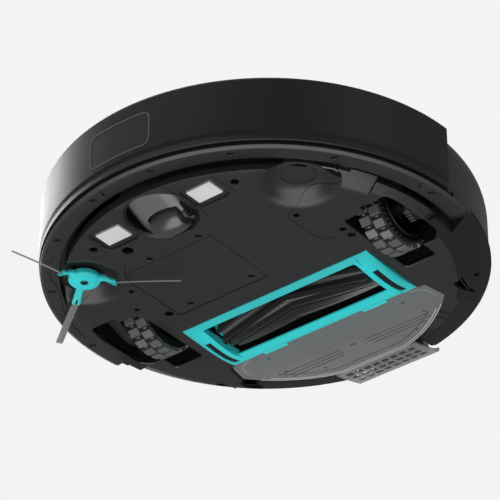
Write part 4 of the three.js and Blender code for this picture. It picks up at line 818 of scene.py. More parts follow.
def buildShell(s):
    r, low, top = body["shellRadius"], body["shellLow"] + 0.05, body["shellTop"] - 0.05
    w, cover = s["wall"], s["coverRadius"]
    deck = [(cover, top), (cover, top - s["deck"]), (0, top - s["deck"]), (0, top - s["deck"] - 2.2)]
    front = [(r, low)] + ovalArc(r - 2, top - 2, 2, 2, 0, 90, 8) + deck + [(r - w, top - s["deck"] - 2.2)]
    front += [(r - w, top - 6 - k) for k in range(5)] + [(r - w, low)]
    wide, tall = s["roundWide"], s["roundTall"]
    rear = [(r, low)] + ovalArc(r - wide, top - tall, wide, tall, 0, 90, 8) + deck
    rear += [(r - wide - 1, top - s["deck"] - 2.2)]
    rear += ovalArc(r - wide, top - tall, wide - w, tall - w - 2, 75, 0, 4) + [(r - w, low)]
    rings = []
    step = (s["sweep"] - 0.02, s["sweep"] + 0.02)
    angles = [i * 1.5 for i in range(240)] + [side for a in step for side in (a, 360 - a)]
    for a in sorted(angles):
        rings.append(placed(front if min(a, 360 - a) < s["sweep"] else rear, a))
    drum = skin(rings + rings[:1], caps=False)
    x, y = scannerAt[0], scannerAt[1]
    tools = [post(s["turretHole"], 40, 90, 64, (x, y)),
             block(-s["bayHalf"], s["bayHalf"], 60, 200, [(10, 0), (s["bayTop"], 0)])]
    for button in ("power_button", "home_button"):
        tools.append(post(s["buttonHole"], 60, 90, 24, centre(button)))
    combine(drum, tools)
    fit(drum, "upperShell", "robot_body", matt, ["upper_shell"])

    high, under = highest("top_cover", 2) - 0.05, lowest("top_cover", 2) + 0.05
    rim = cover - s["seatGap"]
    g0, g1, g2, g3 = s["panelGroove"]
    e, deep = s["panelEdge"], high - s["panelRim"]
    panel = turn([(0, under), (rim, under), (rim, high - e)] + arcPoints(rim - e, high - e, e, 12, 90, 4)
                 + [(rim - g0, high), (rim - g1, deep), (rim - g2, deep), (rim - g3, high), (0, high)], 240)
    q = highest("lidar_cap", 0) + 0.6
    wide = highest("lidar_cap", 0) + 1.1
    holes = [turn([(0, 60), (q, 60), (q, high - 0.6), (wide, high + 0.1), (0, high + 0.1)], 96, about=(x, y))]
    for button in ("power_button", "home_button"):
        bx, by, _ = centre(button)
        q = (highest(button, 1) - lowest(button, 1)) / 2 + 0.35
        holes.append(turn([(0, 60), (q, 60), (q, high - 0.7), (q + 0.7, high + 0.1), (0, high + 0.1)], 48,
                          about=(bx, by)))
    combine(panel, holes)
    fit(panel, "topPanel", "robot_body", glossPlastic, ["top_cover"])


turret = {
    "shelfDrop": 11, "well": 27.6, "foot": 33.0, "skirtLow": 76.4, "postAt": 37.5, "posts": (90, 210, 330),
    "postRadius": (2.9, 2.3), "headRadius": 25.4, "windowHalf": 17.0, "eyes": (-9, 9), "eyeRadius": 3.2,
    "capGroove": (8.0, 8.4, 9.0, 9.4), "grooveDeep": 0.35, "stalk": 3.2, "keyTall": 3.6,
}


def turretPieces(s):
    x, y = scannerAt[0], scannerAt[1]
    r = highest("lidar_cap", 0) - 0.1
    low, high = lowest("lidar_cap", 2) + 0.02, highest("lidar_cap", 2) - 0.02
    g0, g1, g2, g3 = s["capGroove"]
    cap = turn([(0, low), (r - 1.2, low), (r - 0.3, low + 0.5), (r, low + 1.3), (r - 0.3, high - 1.0),
                (r - 1.2, high - 0.3), (r - 3, high), (r - g0, high),
                (r - g1, high - s["grooveDeep"]), (r - g2, high - s["grooveDeep"]), (r - g3, high), (0, high)], 128,
                about=(x, y))
    fit(cap, "turretCap", "scanner", glossPlastic, ["lidar_cap"])

    base, top = lowest("lidar_base", 2) + 0.05, highest("lidar_base", 2) - 0.05
    shelf = lowest("lidar_cap", 2) - s["shelfDrop"]
    well, foot, skirtLow = s["well"], s["foot"], s["skirtLow"]
    ring = turn([(well, base + 2.4), (well, shelf - 0.3), (28.4, shelf), (r - 1.5, shelf), (r - 0.2, shelf - 0.6),
                 (r, shelf - 2),
                 (r, skirtLow), (foot, skirtLow), (foot, base), (0, base), (0, base + 2.4)], 128, about=(x, y))
    posts = []
    wide, thin = s["postRadius"]
    for angle in s["posts"]:
        a = math.radians(angle)
        posts.append(turn([(0, shelf - 1), (wide, shelf - 1), (thin, shelf + 1), (thin, top - 0.6), (wide, top),
                           (0, top)], 24,
                          about=(x + s["postAt"] * math.cos(a), y + s["postAt"] * math.sin(a))))
    combine(ring, [gather(posts)], "UNION")
    fit(ring, "turretBase", "robot_body", innerPlastic, ["lidar_base"])

    q, low, top = s["headRadius"], lowest("lidar_head", 2) + 0.05, highest("lidar_head", 2) - 0.05
    drum = turn([(0, low + 2), (9, low + 2), (9, low), (15, low), (15, low + 2), (q - 0.6, low + 2), (q, low + 2.6),
                 (q, top - 12), (q - 0.5, top - 11.6), (q - 0.5, top - 1.4), (q - 1.6, top - 0.2),
                 (q - 2.4, top), (0, top)], 96, about=(x, y))
    pane = block(x - s["windowHalf"], x + s["windowHalf"], y - 30, y - 21, [(top - 9.8, 0), (top - 1.8, 0)])
    eyes = [wallOf(circle(x + dx, top - 5.6, s["eyeRadius"], 16), [(y - 31, 0), (y - 19.6, 0), (y - 18, -0.6)])
            for dx in s["eyes"]]
    combine(drum, [pane, gather(eyes)])
    fit(drum, "turretHead", "scanner", innerPlastic, ["lidar_head"])

    for node, name, rides in (("power_button", "powerKey", "power_key"), ("home_button", "homeKey", "home_key")):
        bx, by, _ = centre(node)
        low, high = lowest(node, 2) + 0.05, highest(node, 2) - 0.02
        q = (highest(node, 1) - lowest(node, 1)) / 2 - 0.05
        key = turn([(0, low), (s["stalk"], low), (s["stalk"], high - s["keyTall"]), (q, high - s["keyTall"]),
                    (q, high - 0.7), (q - 0.35, high - 0.2), (q - 0.9, high), (q - 2, high - 0.05),
                    (q - 3.4, high - 0.35), (0, high - 0.45)], 64, about=(bx, by))
        fit(key, name, rides, glossPlastic, [node])


buildShell(shell)
turretPieces(turret)
print("shell and turret built")

# main roller and its guard

sweeper = {
    "vanes": 6, "core": 14.8, "twist": 40.0, "phase": -16.0, "stations": 96, "bladeHalf": 1.9, "ridgeHalf": 1.5,
    "ridgeDrop": 1.7, "footHalf": 2.5,
    "guardHalf": 89.4, "mouth": 73.5, "frontBar": 6.0, "rearBar": 14.4, "barLean": 1.16, "sag": 2.6,
    "guardRear": 69.75, "deepest": 0.62, "endFlat": 7, "endSteps": [(4.4, 0.45), (2.2, 1.2), (0.7, 2.4), (0, 3.6)],
    "tipAbove": 3.5, "capRadius": 11.8,
    "slot": (79.0, 84.2, 27.0, 66.5), "edge": 0.9, "tabs": 48.5, "tabWidth": 23.0,
}


def rollerRing(s, x, half):
    r, core = (highest("roller_core", 1) - lowest("roller_core", 1)) / 2 - 0.15, s["core"]
    share = abs(x) / half
    twist = math.radians(s["twist"]) * (share * share * 0.25 + share * 0.75)
    ring = []
    for v in range(2 * s["vanes"]):  # every second one is a lower ridge
        middle = math.radians(s["phase"]) + math.pi * v / s["vanes"] + twist
        tip, half = (r - s["ridgeDrop"], s["ridgeHalf"]) if v % 2 else (r, s["bladeHalf"])
        for along, q in [(-s["footHalf"], core), (-half - 0.35, tip - 0.7), (-half, tip - 0.15),
                         (-half + 0.25, tip), (half - 0.25, tip), (half, tip - 0.15), (half + 0.35, tip - 0.7),
                         (s["footHalf"], core)]:
            a = middle + along / q
            ring.append((x, rollerAt[1] + q * math.cos(a), rollerAt[2] + q * math.sin(a)))
        a = middle + math.pi / s["vanes"] / 2
        ring.append((x, rollerAt[1] + (core - 0.3) * math.cos(a), rollerAt[2] + (core - 0.3) * math.sin(a)))
    return ring


def buildSweeper(s):
    half = highest("roller_core", 0) - 0.05
    rings = [rollerRing(s, -half + 2 * half * i / s["stations"], half) for i in range(s["stations"] + 1)]
    roller = skin(rings)
    tips = []
    for face in roller.data.polygons:  # the running edges of the vanes are a darker rubber
        out = Vector((0, face.center.y - rollerAt[1] * mm, face.center.z - rollerAt[2] * mm))
        tips.append(out.length > (s["core"] + s["tipAbove"]) * mm and face.normal.dot(out.normalized()) > 0.97)
    fit(roller, "brushRoller", "main_roller", vaneRubber, ["roller_core"], angle=34)
    roller.data.materials.append(tipRubber)
    for face, dark in zip(roller.data.polygons, tips):
        face.material_index = int(dark)

    for side, node in ((1, "roller_cap_left"), (-1, "roller_cap_right")):
        x0, x1 = highest("roller_cap_left", 0), lowest("roller_cap_left", 0)
        q = s["capRadius"]
        profile = [(x1, 0), (x1, q - 0.5), (x1 + 0.5, q), (x0 - 5.3, q), (x0 - 4.8, q - 0.6), (x0 - 4.6, 6),
                   (x0 - 4.6, 3.8),
                   (x0 - 0.5, 3.8), (x0 - 0.1, 3.4), (x0 - 0.1, 0)]
        cap = turnAbout([(side * x, q) for x, q in profile], (0, rollerAt[1], rollerAt[2]), 48)
        fit(cap, "rollerEnd" + ("Left" if side > 0 else "Right"), "main_roller", turquoise, [node])

    z, top = body["under"], highest("brush_guard", 2) - 0.02
    front, rear = lowest("brush_guard", 1) + 0.05, s["guardRear"]
    low = z - s["sag"] + 0.05
    side = [(front, z - 0.1), (front + 2.5, z - 1.3), (front + s["frontBar"] * 0.72, low + 0.15),
            (front + s["frontBar"], low), (rear - 8, low), (rear - 3.4, low + 0.5), (rear - 0.6, z - 0.2),
            (rear, z + 0.6), (rear, top), (front, top)]
    guard = slab(side, [(-s["mouth"] - 4, 0), (s["mouth"] + 4, 0)])
    lowPoint = lowest("brush_guard", 2) + 0.05
    fall, deepest = z - 0.1 - lowPoint, s["deepest"]
    curve = []
    for k in range(25):
        t = k / 24
        if t < deepest:
            drop = fall * math.sin(math.pi * min(1, t * 0.5 / deepest)) ** 0.9
        else:
            drop = fall * (1 - ((t - deepest) / (1 - deepest)) ** 2 * 1.05)
        curve.append((front + (rear - front) * t, z - 0.1 - drop))
    ends = []
    for hand in (1, -1):
        x0, x1 = s["mouth"] - 0.02, s["guardHalf"]
        layers = [(x0, 0.0), (x0 + s["endFlat"], 0.0)] + [(x1 - step, rise) for step, rise in s["endSteps"]]
        rings = []
        for x, rise in layers:
            lifted = [(y, min(h + rise * max(0.15, (z - h) / (z - lowPoint)), z + 0.6)) for y, h in curve]
            rings.append([(hand * x, y, h) for y, h in lifted + [(rear, top), (front, top)]])
        ends.append(skin(rings))
    combine(guard, ends, "UNION")
    m = s["mouth"]
    mouth = prism(softRect(-m, m, front + s["frontBar"], rear - s["rearBar"], 1.6),
                  [(-2, 1.4), (low + 0.2, 0.35), (low + 1.1, 0), (20, 0)])
    back = rear - s["rearBar"]
    lean = back + (top - low - 0.9) * s["barLean"]
    under = plateOf([(back - 4, low + 0.9), (back, low + 0.9), (lean, top), (lean, top + 2), (back - 4, top + 2)],
                    -m + 0.5, m - 0.5)
    combine(guard, [mouth, under])
    x0, x1, y0, y1 = s["slot"]
    for hand in (1, -1):
        path = [(y, h) for y, h in curve if y0 <= y <= y1]
        slot = [(y, h - 3) for y, h in path] + [(y, h + 1.7) for y, h in reversed(path)]
        combine(guard, [plateOf(slot, hand * x0, hand * x1)])
    bevel(guard, s["edge"] * 0.55, 2, 40)
    tabs = []
    for hand in (1, -1):
        x = hand * s["tabs"]
        w = s["tabWidth"] / 2
        tabs.append(prism(softRect(x - w, x + w, rear - 1, rear + 3.3, 0.8, 3),
                          [(z + 0.45, -0.35), (z + 0.8, 0), (top, 0)]))
        for edge in (-1, 1):
            cx = x + edge * (w + 1)
            notch = prism(softRect(cx - 0.9, cx + 0.9, rear - 2.2, rear + 2, 0.5, 2), [(z - 4, 0), (top - 0.5, 0)])
            combine(guard, [notch])
    combine(guard, [gather(tabs)], "UNION")
    fit(guard, "rollerGuard", "guard", turquoise, ["brush_guard"], angle=30)

    # the slots show a dark rubber insert
    inserts = []
    for hand in (1, -1):
        path = [(y, h) for y, h in curve if y0 + 0.2 <= y <= y1 - 0.2]
        shape = [(y, h + 0.9) for y, h in path] + [(y, h + 2.0) for y, h in reversed(path)]
        inserts.append(plateOf(shape, hand * (x0 + 0.1), hand * (x1 - 0.1)))
    fit(gather(inserts), "skidPads", "guard", innerPlastic)


buildSweeper(sweeper)
print("roller and guard built")

# drive wheels

drive = {
    "blocks": 20, "blockLong": 7.4, "bridgeHalf": 1.7, "bridgeLong": 2.2, "bridgeDrop": 1.2, "blockGap": 0.7,
    "tread": 3.0, "taper": 0.55, "soft": 0.5,
    "rim": 26.0, "teeth": 44, "toothIn": 28.6, "toothOut": 30.7, "holes": 30, "holeAt": 27.2, "holeRadius": 0.9,
    "windows": 5, "windowAt": 15.5, "windowRadius": 5.2,
    "lip": 24.0, "bracket": (131.5, 136.5), "bracketAt": (-3.5, 18.5),
    "arm": (134.5, 144.3), "pivot": (-33.5, 38.0), "motor": (-49.5, 52.0), "armEye": 15.4, "pivotEye": 7.9,
    "motorEye": 10.9, "shaft": 2.9, "armRibs": 7,
}


# one rubber block standing on the tyre at an angle round the axle
def treadBlock(d, axle, at, x0, x1, long, base, top):
    c, s = math.cos(at), math.sin(at)
    rings = []
    for r, inset in ((base - 0.4, -0.2), (base + 0.3, 0), (top - d["soft"], d["taper"] * 0.5),
                     (top - 0.12, d["taper"] + 0.15), (top, d["taper"] + 0.5)):
        a, b, h = x0 + inset, x1 - inset, long / 2 - inset
        if r == top:
            r = math.sqrt(top * top - h * h)
        rings.append([(x, r * c - y * s, r * s + y * c) for x, y in ((a, -h), (b, -h), (b, h), (a, h))])
    return skin([[(axle[0] + x, axle[1] + y, axle[2] + z) for x, y, z in ring] for ring in rings])


def buildWheel(d, side, hand):
    tyreNode, rimNode, rides = "tyre_" + hand, "wheel_rim_" + hand, "wheel_" + hand
    at = centre(tyreNode)
    r = (highest(tyreNode, 1) - lowest(tyreNode, 1)) / 2 - 0.06
    half = (highest(tyreNode, 0) - lowest(tyreNode, 0)) / 2 - 0.03
    base = r - d["tread"]
    band = turnAbout([(-half, d["rim"] + 0.3), (-half, base - 0.8), (-half + 0.8, base), (-0.3, base),
                      (-0.15, base - 0.3), (0.15, base - 0.3), (0.3, base),
                      (half - 0.8, base), (half, base - 0.8), (half, d["rim"] + 0.3)], at, 100)
    fit(band, "tyreBand" + hand.title(), rides, armPlastic, angle=28)
    pieces = []
    w, bridge = d["bridgeHalf"], r - d["bridgeDrop"]
    for row, (x0, x1) in enumerate(((-half + 0.25, -d["blockGap"] / 2), (d["blockGap"] / 2, half - 0.25))):
        for k in range(d["blocks"]):
            a = 2 * math.pi * (k + 0.5 * row + 0.25) / d["blocks"]
            x0s, x1s = (x0, x1) if side > 0 else (-x1, -x0)
            middle = (x0s + x1s) / 2
            pieces.append(treadBlock(d, at, a, x0s, x1s, d["blockLong"], base, r))
            between = a + math.pi / d["blocks"]
            pieces.append(treadBlock(d, at, between, middle - w, middle + w, d["bridgeLong"], base, bridge))
    fit(gather(pieces), "tread" + hand.title(), rides, treadRubber, [tyreNode], angle=28)

    inner, lip = -half, highest(rimNode, 0) - at[0] - 0.05 if side > 0 else at[0] - lowest(rimNode, 0) - 0.05
    profile = [
        (inner, d["rim"] - 2.4), (inner + 4.6, d["rim"] - 2.4), (inner + 5, d["rim"] - 3), (inner + 5, 3.4),
        (lip - 1, 3.4), (lip - 0.4, 4), (lip - 0.4, 5.6), (lip - 1, 6.4),
        (inner + 8.2, 7.6), (inner + 7.4, 9), (inner + 7.4, d["lip"] - 3.4), (inner + 8.2, d["lip"] - 2.2),
        (lip - 2.4, d["lip"] - 1.4), (lip - 0.5, d["lip"] - 0.8), (lip, d["lip"]), (lip, d["lip"] + 0.9),
        (lip - 1.3, d["lip"] + 1.4), (lip - 1.3, d["toothIn"]), (lip - 2.6, d["toothIn"]), (lip - 2.6, d["rim"]),
        (inner, d["rim"])]
    drum = turnAbout([(side * x, q) for x, q in profile], at, 120)
    teeth = []
    w = math.pi / d["teeth"]
    tooth = [(d["toothIn"] - 0.6, -w * 0.95), (d["toothOut"], -w * 0.45), (d["toothOut"], w * 0.45),
             (d["toothIn"] - 0.6, w * 0.95)]
    for k in range(d["teeth"]):
        a = 2 * math.pi * k / d["teeth"]
        shape = [(at[1] + q * math.cos(a + t), at[2] + q * math.sin(a + t)) for q, t in tooth]
        teeth.append(plateOf(shape, at[0] + side * (lip - 2.6), at[0] + side * (lip - 0.6)))
    near, far = at[0] + side * (lip - 2.0), at[0] + side * (lip + 1)
    rings = circle(at[1], at[2], d["holeAt"], d["holes"])
    holes = [plateOf(circle(cy, cz, d["holeRadius"], 8), near, far) for cy, cz in rings]
    near, far = at[0] + side * (inner + 2), at[0] + side * (inner + 9)
    rings = circle(at[1], at[2], d["windowAt"], d["windows"])
    windows = [plateOf(circle(cy, cz, d["windowRadius"], 16), near, far) for cy, cz in rings]
    combine(drum, [gather(holes), gather(windows)])
    combine(drum, [gather(teeth)], "UNION")
    fit(drum, "rim" + hand.title(), rides, innerPlastic, [rimNode], angle=32)


def turnsLeft(a, b, c):
    return (b[0] - a[0]) * (c[1] - a[1]) - (b[1] - a[1]) * (c[0] - a[0]) > 0


def hullOf(circles, steps=40):  # the outline round several circles, counter-clockwise
    points = []
    for cy, cz, r in circles:
        points += circle(cy, cz, r, steps)
    points = sorted(set(points))
    half = []
    for order in (points, points[::-1]):
        chain = []
        for p in order:
            while len(chain) > 1 and not turnsLeft(chain[-2], chain[-1], p):
                chain.pop()
            chain.append(p)
        half += chain[:-1]
    return half


def rod(x0, x1, r, y, z):
    return turnAbout([(x0, 0), (x0, r), (x1, r), (x1, 0)], (0, y, z), 32)


def buildArm(d, side, hand):
    node, rides = "drive_arm_" + hand, "arm_" + hand
    at = centre("tyre_" + hand)
    x0, x1 = d["arm"]
    pivot, motor = d["pivot"], d["motor"]
    plates = []
    for circles in ([(at[1], at[2], d["armEye"]), (*pivot, d["pivotEye"])],
                    [(*pivot, d["pivotEye"]), (*motor, d["motorEye"])]):
        plates.append(slab(hullOf(circles), [(x0, -0.8), (x0 + 0.8, 0), (x1 - 0.8, 0), (x1, -0.8)]))
    bracket = slab(softRect(at[1] - 4.9, at[1] + 4.9, at[2] - 15, at[2] + 16.9, 1), [(x0 + 0.9, 0), (x1 - 0.9, 0)])
    shaft = rod(abs(at[0]) - 4, x0 + 0.5, d["shaft"], at[1], at[2])
    pin = rod(x1 - 1, x1 + 3.4, d["shaft"], *pivot)
    arm = combine(plates[0], [plates[1], bracket, shaft, pin], "UNION")
    ribs = [plateOf(softRect(y - 0.8, y + 0.8, at[2] - 12.5, at[2] + 9, 0.4, 2), x0 - 1, x0 + 1.4)
            for y in (at[1] - 12 + 4 * k for k in range(d["armRibs"]))]
    combine(arm, [gather(ribs)])
    if side < 0:
        flipObject(arm)
    fit(arm, "arm" + hand.title(), rides, armPlastic, [node], angle=32)
    (bx0, bx1), (by, bz), ridge = d["bracket"], d["bracketAt"], []
    for k in range(4):
        y = by + 2.6 * k
        ridge.append(slab(softRect(y, y + 1.5, bz - 0.9 * k, bz + 6.5 - 0.9 * k, 0.4, 2),
                          [(bx0, -0.3), (bx0 + 0.5, 0), (bx1, 0)]))
    plate = plateOf(softRect(by - 1, by + 10.5, bz + 1, bz + 6, 0.8, 2), bx0 + 1, bx1)
    lug = gather(ridge + [plate])
    if side < 0:
        flipObject(lug)
    fit(lug, "armLug" + hand.title(), rides, bracketGreyAndLedgeHighlight, angle=32)


def flipObject(made):
    made.data.transform(Matrix.Diagonal((-1, 1, 1, 1)))
    made.data.flip_normals()


for side, hand in ((1, "left"), (-1, "right")):
    buildWheel(drive, side, hand)
    buildArm(drive, side, hand)
print("wheels built")

# caster

caster = {
    "hoodRadius": 25.3, "top": 29.9, "stem": (4.9, 43.2), "ease": 4, "tailFrom": 17, "tailRise": 0.07, "low": 9.35,
    "slope": 0.39, "crease": 5.0, "sides": ((-22.0, 5.0), (21.4, 12.5)), "wheelHalf": 12.9,
    "wheelEnd": 8.8, "gap": 1.1,
    "boss": 5.0, "bossReach": 16.4, "notch": (16.6, -1.0, 19.5, 18.5),
}


def barrel(half, end, swell):
    arc = [math.radians(t) for t in range(0, 181, 6)]
    return [(-half, 0)] + [(-half * math.cos(t), end + swell * math.sin(t)) for t in arc] + [(half, 0)]


def buildCaster(c):
    x0, y0 = casterAt[0], casterAt[1]
    axleY, axleZ = centre("caster_wheel")[1], centre("caster_wheel")[2]
    wheelR = (highest("caster_wheel", 2) - lowest("caster_wheel", 2)) / 2 - 0.05
    top, r = c["top"], c["hoodRadius"]
    (left, leftRound), (right, rightRound) = c["sides"]
    stations = [left + leftRound * (1 - math.cos(math.pi / 2 * k / 6)) for k in range(7)]
    stations += [-12, -6, 0, 5] + [right - rightRound * (1 - math.sin(math.pi / 2 * k / 12)) for k in range(13)]
    rings = []
    for x in stations:
        overLeft = max(0.0, left + leftRound - x) / leftRound
        overRight = max(0.0, x - right + rightRound) / rightRound
        rise = leftRound * (1 - math.sqrt(max(0, 1 - overLeft ** 2)))
        rise += rightRound * (1 - math.sqrt(max(0, 1 - overRight ** 2)))
        reach = math.sqrt(r * r - x * x)
        line = []
        for k in range(41):
            y = reach * (k / 20 - 1)
            t = c["crease"] - y
            fall = t if t > c["ease"] else max(0, t + c["ease"]) ** 2 / (4 * c["ease"])
            tail = max(0, y - c["tailFrom"]) ** 2 * c["tailRise"]
            line.append((x0 + x, y0 + y, min(top - 2, c["low"] + c["slope"] * fall + tail + rise)))
        rings.append(line + [(x0 + x, y0 + reach, top), (x0 + x, y0 - reach, top)])
    hood = skin(rings)
    q, high = c["stem"]
    stem = turn([(0, top - 1), (q, top - 1), (q, high - 0.6), (q - 0.5, high), (0, high)], 32, about=(x0, y0))
    combine(hood, [stem], "UNION")
    w, g = c["wheelHalf"], c["gap"]
    room = turnAbout(barrel(w + g, c["wheelEnd"] + g, wheelR - c["wheelEnd"]), (x0, axleY, axleZ), 72)
    below = prism(softRect(x0 - w - g, x0 + w + g, axleY - 6, axleY + wheelR + 6, 2), [(0, 0), (axleZ, 0)])
    nx, n0, n1, nz = c["notch"]
    notch = prism(softRect(x0 + nx, x0 + 40, y0 + n0, y0 + n1, 3), [(0, 1), (nz - 1.5, 0), (nz, -1.5)])
    combine(hood, [room, below, notch])
    boss = turnAbout([(w + g - 0.5, 0), (w + g - 0.5, c["boss"]), (c["bossReach"] - 0.6, c["boss"]),
                      (c["bossReach"], c["boss"] - 0.6), (c["bossReach"], 3.4), (c["bossReach"] - 1.2, 3.0),
                      (c["bossReach"] - 1.2, 0)], (x0, axleY, axleZ), 40)
    end = x0 + c["bossReach"]
    cross = ((2.5, 0.5), (0.5, 2.5))
    combine(boss, [plateOf(pad(axleY, axleZ, a, b, 0.1, 1), end - 2.4, end + 1) for a, b in cross])
    fit(gather([hood, boss]), "casterHood", "caster_swivel", greyPlastic, ["caster_fork"], angle=40)

    ball = turnAbout(barrel(w, c["wheelEnd"], wheelR - c["wheelEnd"]), (x0, axleY, axleZ), 96)
    fit(ball, "casterBarrel", "caster_roll", greyPlastic, ["caster_wheel"], angle=40)


buildCaster(caster)
print("caster built")

# side brush

whisk = {
    "discRadius": 12.5, "reach": 24.9, "phase": 26.7, "drop": 4.6, "forkDeep": 4.2, "strands": 17, "strand": 0.24,
    "armRoot": 3.9, "armTall": 3.3, "bendFrom": 13.5, "bristleDrop": 2.55, "bristleFall": 6.0, "floorGap": 0.95,
    "length": 75.7, "ribbonHalf": (0.6, 2.5, 0.6),
}


def armSection(s, u):  # half width, low and high of an arm at the distance u from the axis
    z = body["under"]
    t = max(0.0, min(1.0, (u - s["bendFrom"]) / (s["reach"] - s["bendFrom"])))
    ease = t * t * (3 - 2 * t)
    low = z + 1.6 - ease * (s["drop"] + 0.8)
    half = s["armRoot"] - 1.0 * min(1, (u - 9) / 5) + 0.4 * ease
    return half, low, low + s["armTall"] - 0.5 * ease


def compass(angle):  # the directions along and across an arm
    a = math.radians(angle)
    return Vector((math.cos(a), math.sin(a))), Vector((-math.sin(a), math.cos(a)))


def buildWhisk(s):
    x0, y0, z = brushAt[0], brushAt[1], body["under"]
    r = s["discRadius"]
    stem = highest("side_brush_hub", 2) - 0.05
    disc = turn([(0, z + 0.55), (3.3, z + 0.55), (7, z + 0.75), (r - 2.2, z + 1.15), (r - 0.9, z + 1.7),
                 (r - 0.2, z + 2.7), (r, z + 3.8), (r - 0.1, z + 6), (r - 0.6, z + 6.5), (3.5, z + 6.5),
                 (3.5, stem), (0, stem)],
                96, about=(x0, y0))
    arms = []
    for k in range(3):
        along, across = compass(s["phase"] + 120 * k)
        rings = []
        for i in range(19):
            u = 8 + (s["reach"] - 8) * i / 18
            half, low, high = armSection(s, max(9, u))
            ring = []
            for v, h in ((-half, (low + high) / 2 - 0.5), (-half * 0.82, low + 0.25), (-half * 0.4, low),
                         (half * 0.4, low), (half * 0.82, low + 0.25), (half, (low + high) / 2 - 0.5),
                         (half, high - 0.5), (half * 0.8, high), (-half * 0.8, high), (-half, high - 0.5)):
                p = along * u + across * v
                ring.append((x0 + p.x, y0 + p.y, h))
            rings.append(ring)
        arm = skin(rings)
        half, low, high = armSection(s, s["reach"])
        notch = []
        for u, v in ((s["reach"] - s["forkDeep"], -0.75), (s["reach"] + 2, -1.0), (s["reach"] + 2, 1.0),
                     (s["reach"] - s["forkDeep"], 0.75)):
            p = along * u + across * v
            notch.append((x0 + p.x, y0 + p.y))
        combine(arm, [prism(notch, [(low - 2, 0), (high + 2, 0)])])
        arms.append(arm)
    for arm in arms:
        combine(disc, [arm], "UNION")
    socket = [(0, 0), (3.3, 0), (3.3, z + 0.9), (2.9, z + 1.5), (1.6, z + 1.6), (1.6, z + 7.6), (0, z + 7.6)]
    combine(disc, [turn(socket, 32, about=(x0, y0))])
    bevel(disc, 0.25, 2, 50)
    fit(disc, "brushHub", "side_brush", turquoise, ["side_brush_hub"], angle=40)

    head = screwHead(x0, y0, z + 0.25, 2.8, 1.0)
    shank = post(1.3, z + 1.0, z + 7.3, 20, (x0, y0))
    fit(gather([head, shank]), "brushScrew", "side_brush", steel, ["side_brush_screw"])

    for k, letter in enumerate("abc"):
        along, across = compass(s["phase"] + 120 * k)
        tufts = []
        for i in range(s["strands"]):
            v0 = s["ribbonHalf"][k] * (2 * i / (s["strands"] - 1) - 1)
            wob = math.sin(i * 5.3 + k * 2.1)
            rings = []
            for j in range(13):
                t = j / 12
                u = s["reach"] + 0.4 + (s["length"] - s["reach"] - 0.4 - 0.9 * abs(wob)) * t
                h = z - s["bristleDrop"] - s["bristleFall"] * t ** 1.25 + 0.9 * (t ** 2) * 0.6 + 0.12 * wob
                h = max(h, s["floorGap"])
                v = v0 * (1 + 0.05 * t) + 0.1 * wob * math.sin(3 * t + i)
                q = s["strand"] * (1 - 0.25 * t)
                ring = []
                for m in range(6):
                    b = math.pi / 3 * m
                    p = along * u + across * (v + q * 1.05 * math.cos(b))
                    ring.append((x0 + p.x, y0 + p.y, h + q * math.sin(b)))
                rings.append(ring)
            tufts.append(skin(rings))
        fit(gather(tufts), "bristles" + letter.upper(), "side_brush", bristleNylon,
            ["side_bristles_" + letter], angle=60)


buildWhisk(whisk)
print("side brush built")

# charging contacts and battery door

underParts = {
    "padRound": 0.7, "padHalf": (11.2, 7.95), "collarHalf": (12.5, 9.3), "stepDeep": 0.35, "frontStrip": 15.5,
    "rearStrip": 12.0, "doorEdge": 0.35,
    "doorHoles": [(4, -86.5, 2.4), (-43.5, -86.5, 2.4), (-58.5, -20.5, 2.4), (1, -20.5, 2.4)],
}


def buildUnderParts(s):
    z = body["under"]
    for node, name in (("contact_left", "contactPadLeft"), ("contact_right", "contactPadRight")):
        x, y, _ = centre(node)
        low = lowest(node, 2) + 0.02
        face = prism(pad(x, y, *s["padHalf"], s["padRound"]),
                     [(low, -0.5), (low + 0.15, -0.2), (low + 0.5, 0), (z + 3, 0)])
        collar = prism(pad(x, y, *s["collarHalf"], 1), [(z + 2.6, 0), (highest(node, 2) - 0.05, 0)])
        fit(gather([face, collar]), name, "robot_body", contactMetal, [node])

    top = highest("battery_hatch", 2) - 0.02
    door = prism(hatchShape(-0.15), [(z + 0.02, -s["doorEdge"]), (z + 0.1, -0.12),
        (z + s["doorEdge"], 0), (top, 0)])
    (x0, x1), (y0, y1) = [(lowest("battery_hatch", axis), highest("battery_hatch", axis)) for axis in (0, 1)]
    strips = [block(x0 - 2, x1 + 2, ya, yb, [(z - 1, 0.4), (z + s["stepDeep"], 0)])
              for ya, yb in ((y1 - s["rearStrip"], y1 + 2), (y0 - 2, y0 + s["frontStrip"]))]
    holes = [turn([(0, z - 1), (q + 1, z - 1), (q + 0.35, z + s["stepDeep"]), (q, z + s["stepDeep"] + 0.35),
                   (q, z + 3), (0, z + 3)], 28, about=(x, y)) for x, y, q in s["doorHoles"]]
    combine(door, strips)
    combine(door, [gather(holes)])
    fit(door, "batteryDoor", "robot_body", matt, ["battery_hatch"], angle=28)
    cups = [turn([(q + 0.6, z + 2.1), (q + 0.6, z + 2.4), (0, z + 2.4), (0, z + 2.25), (q, z + 2.25), (q, z + 2.1)],
                 28, about=(x, y)) for x, y, q in s["doorHoles"]]
    fit(gather(cups), "doorScrews", "robot_body", innerPlastic)


buildUnderParts(underParts)
print("contacts and door built")

# dust bin

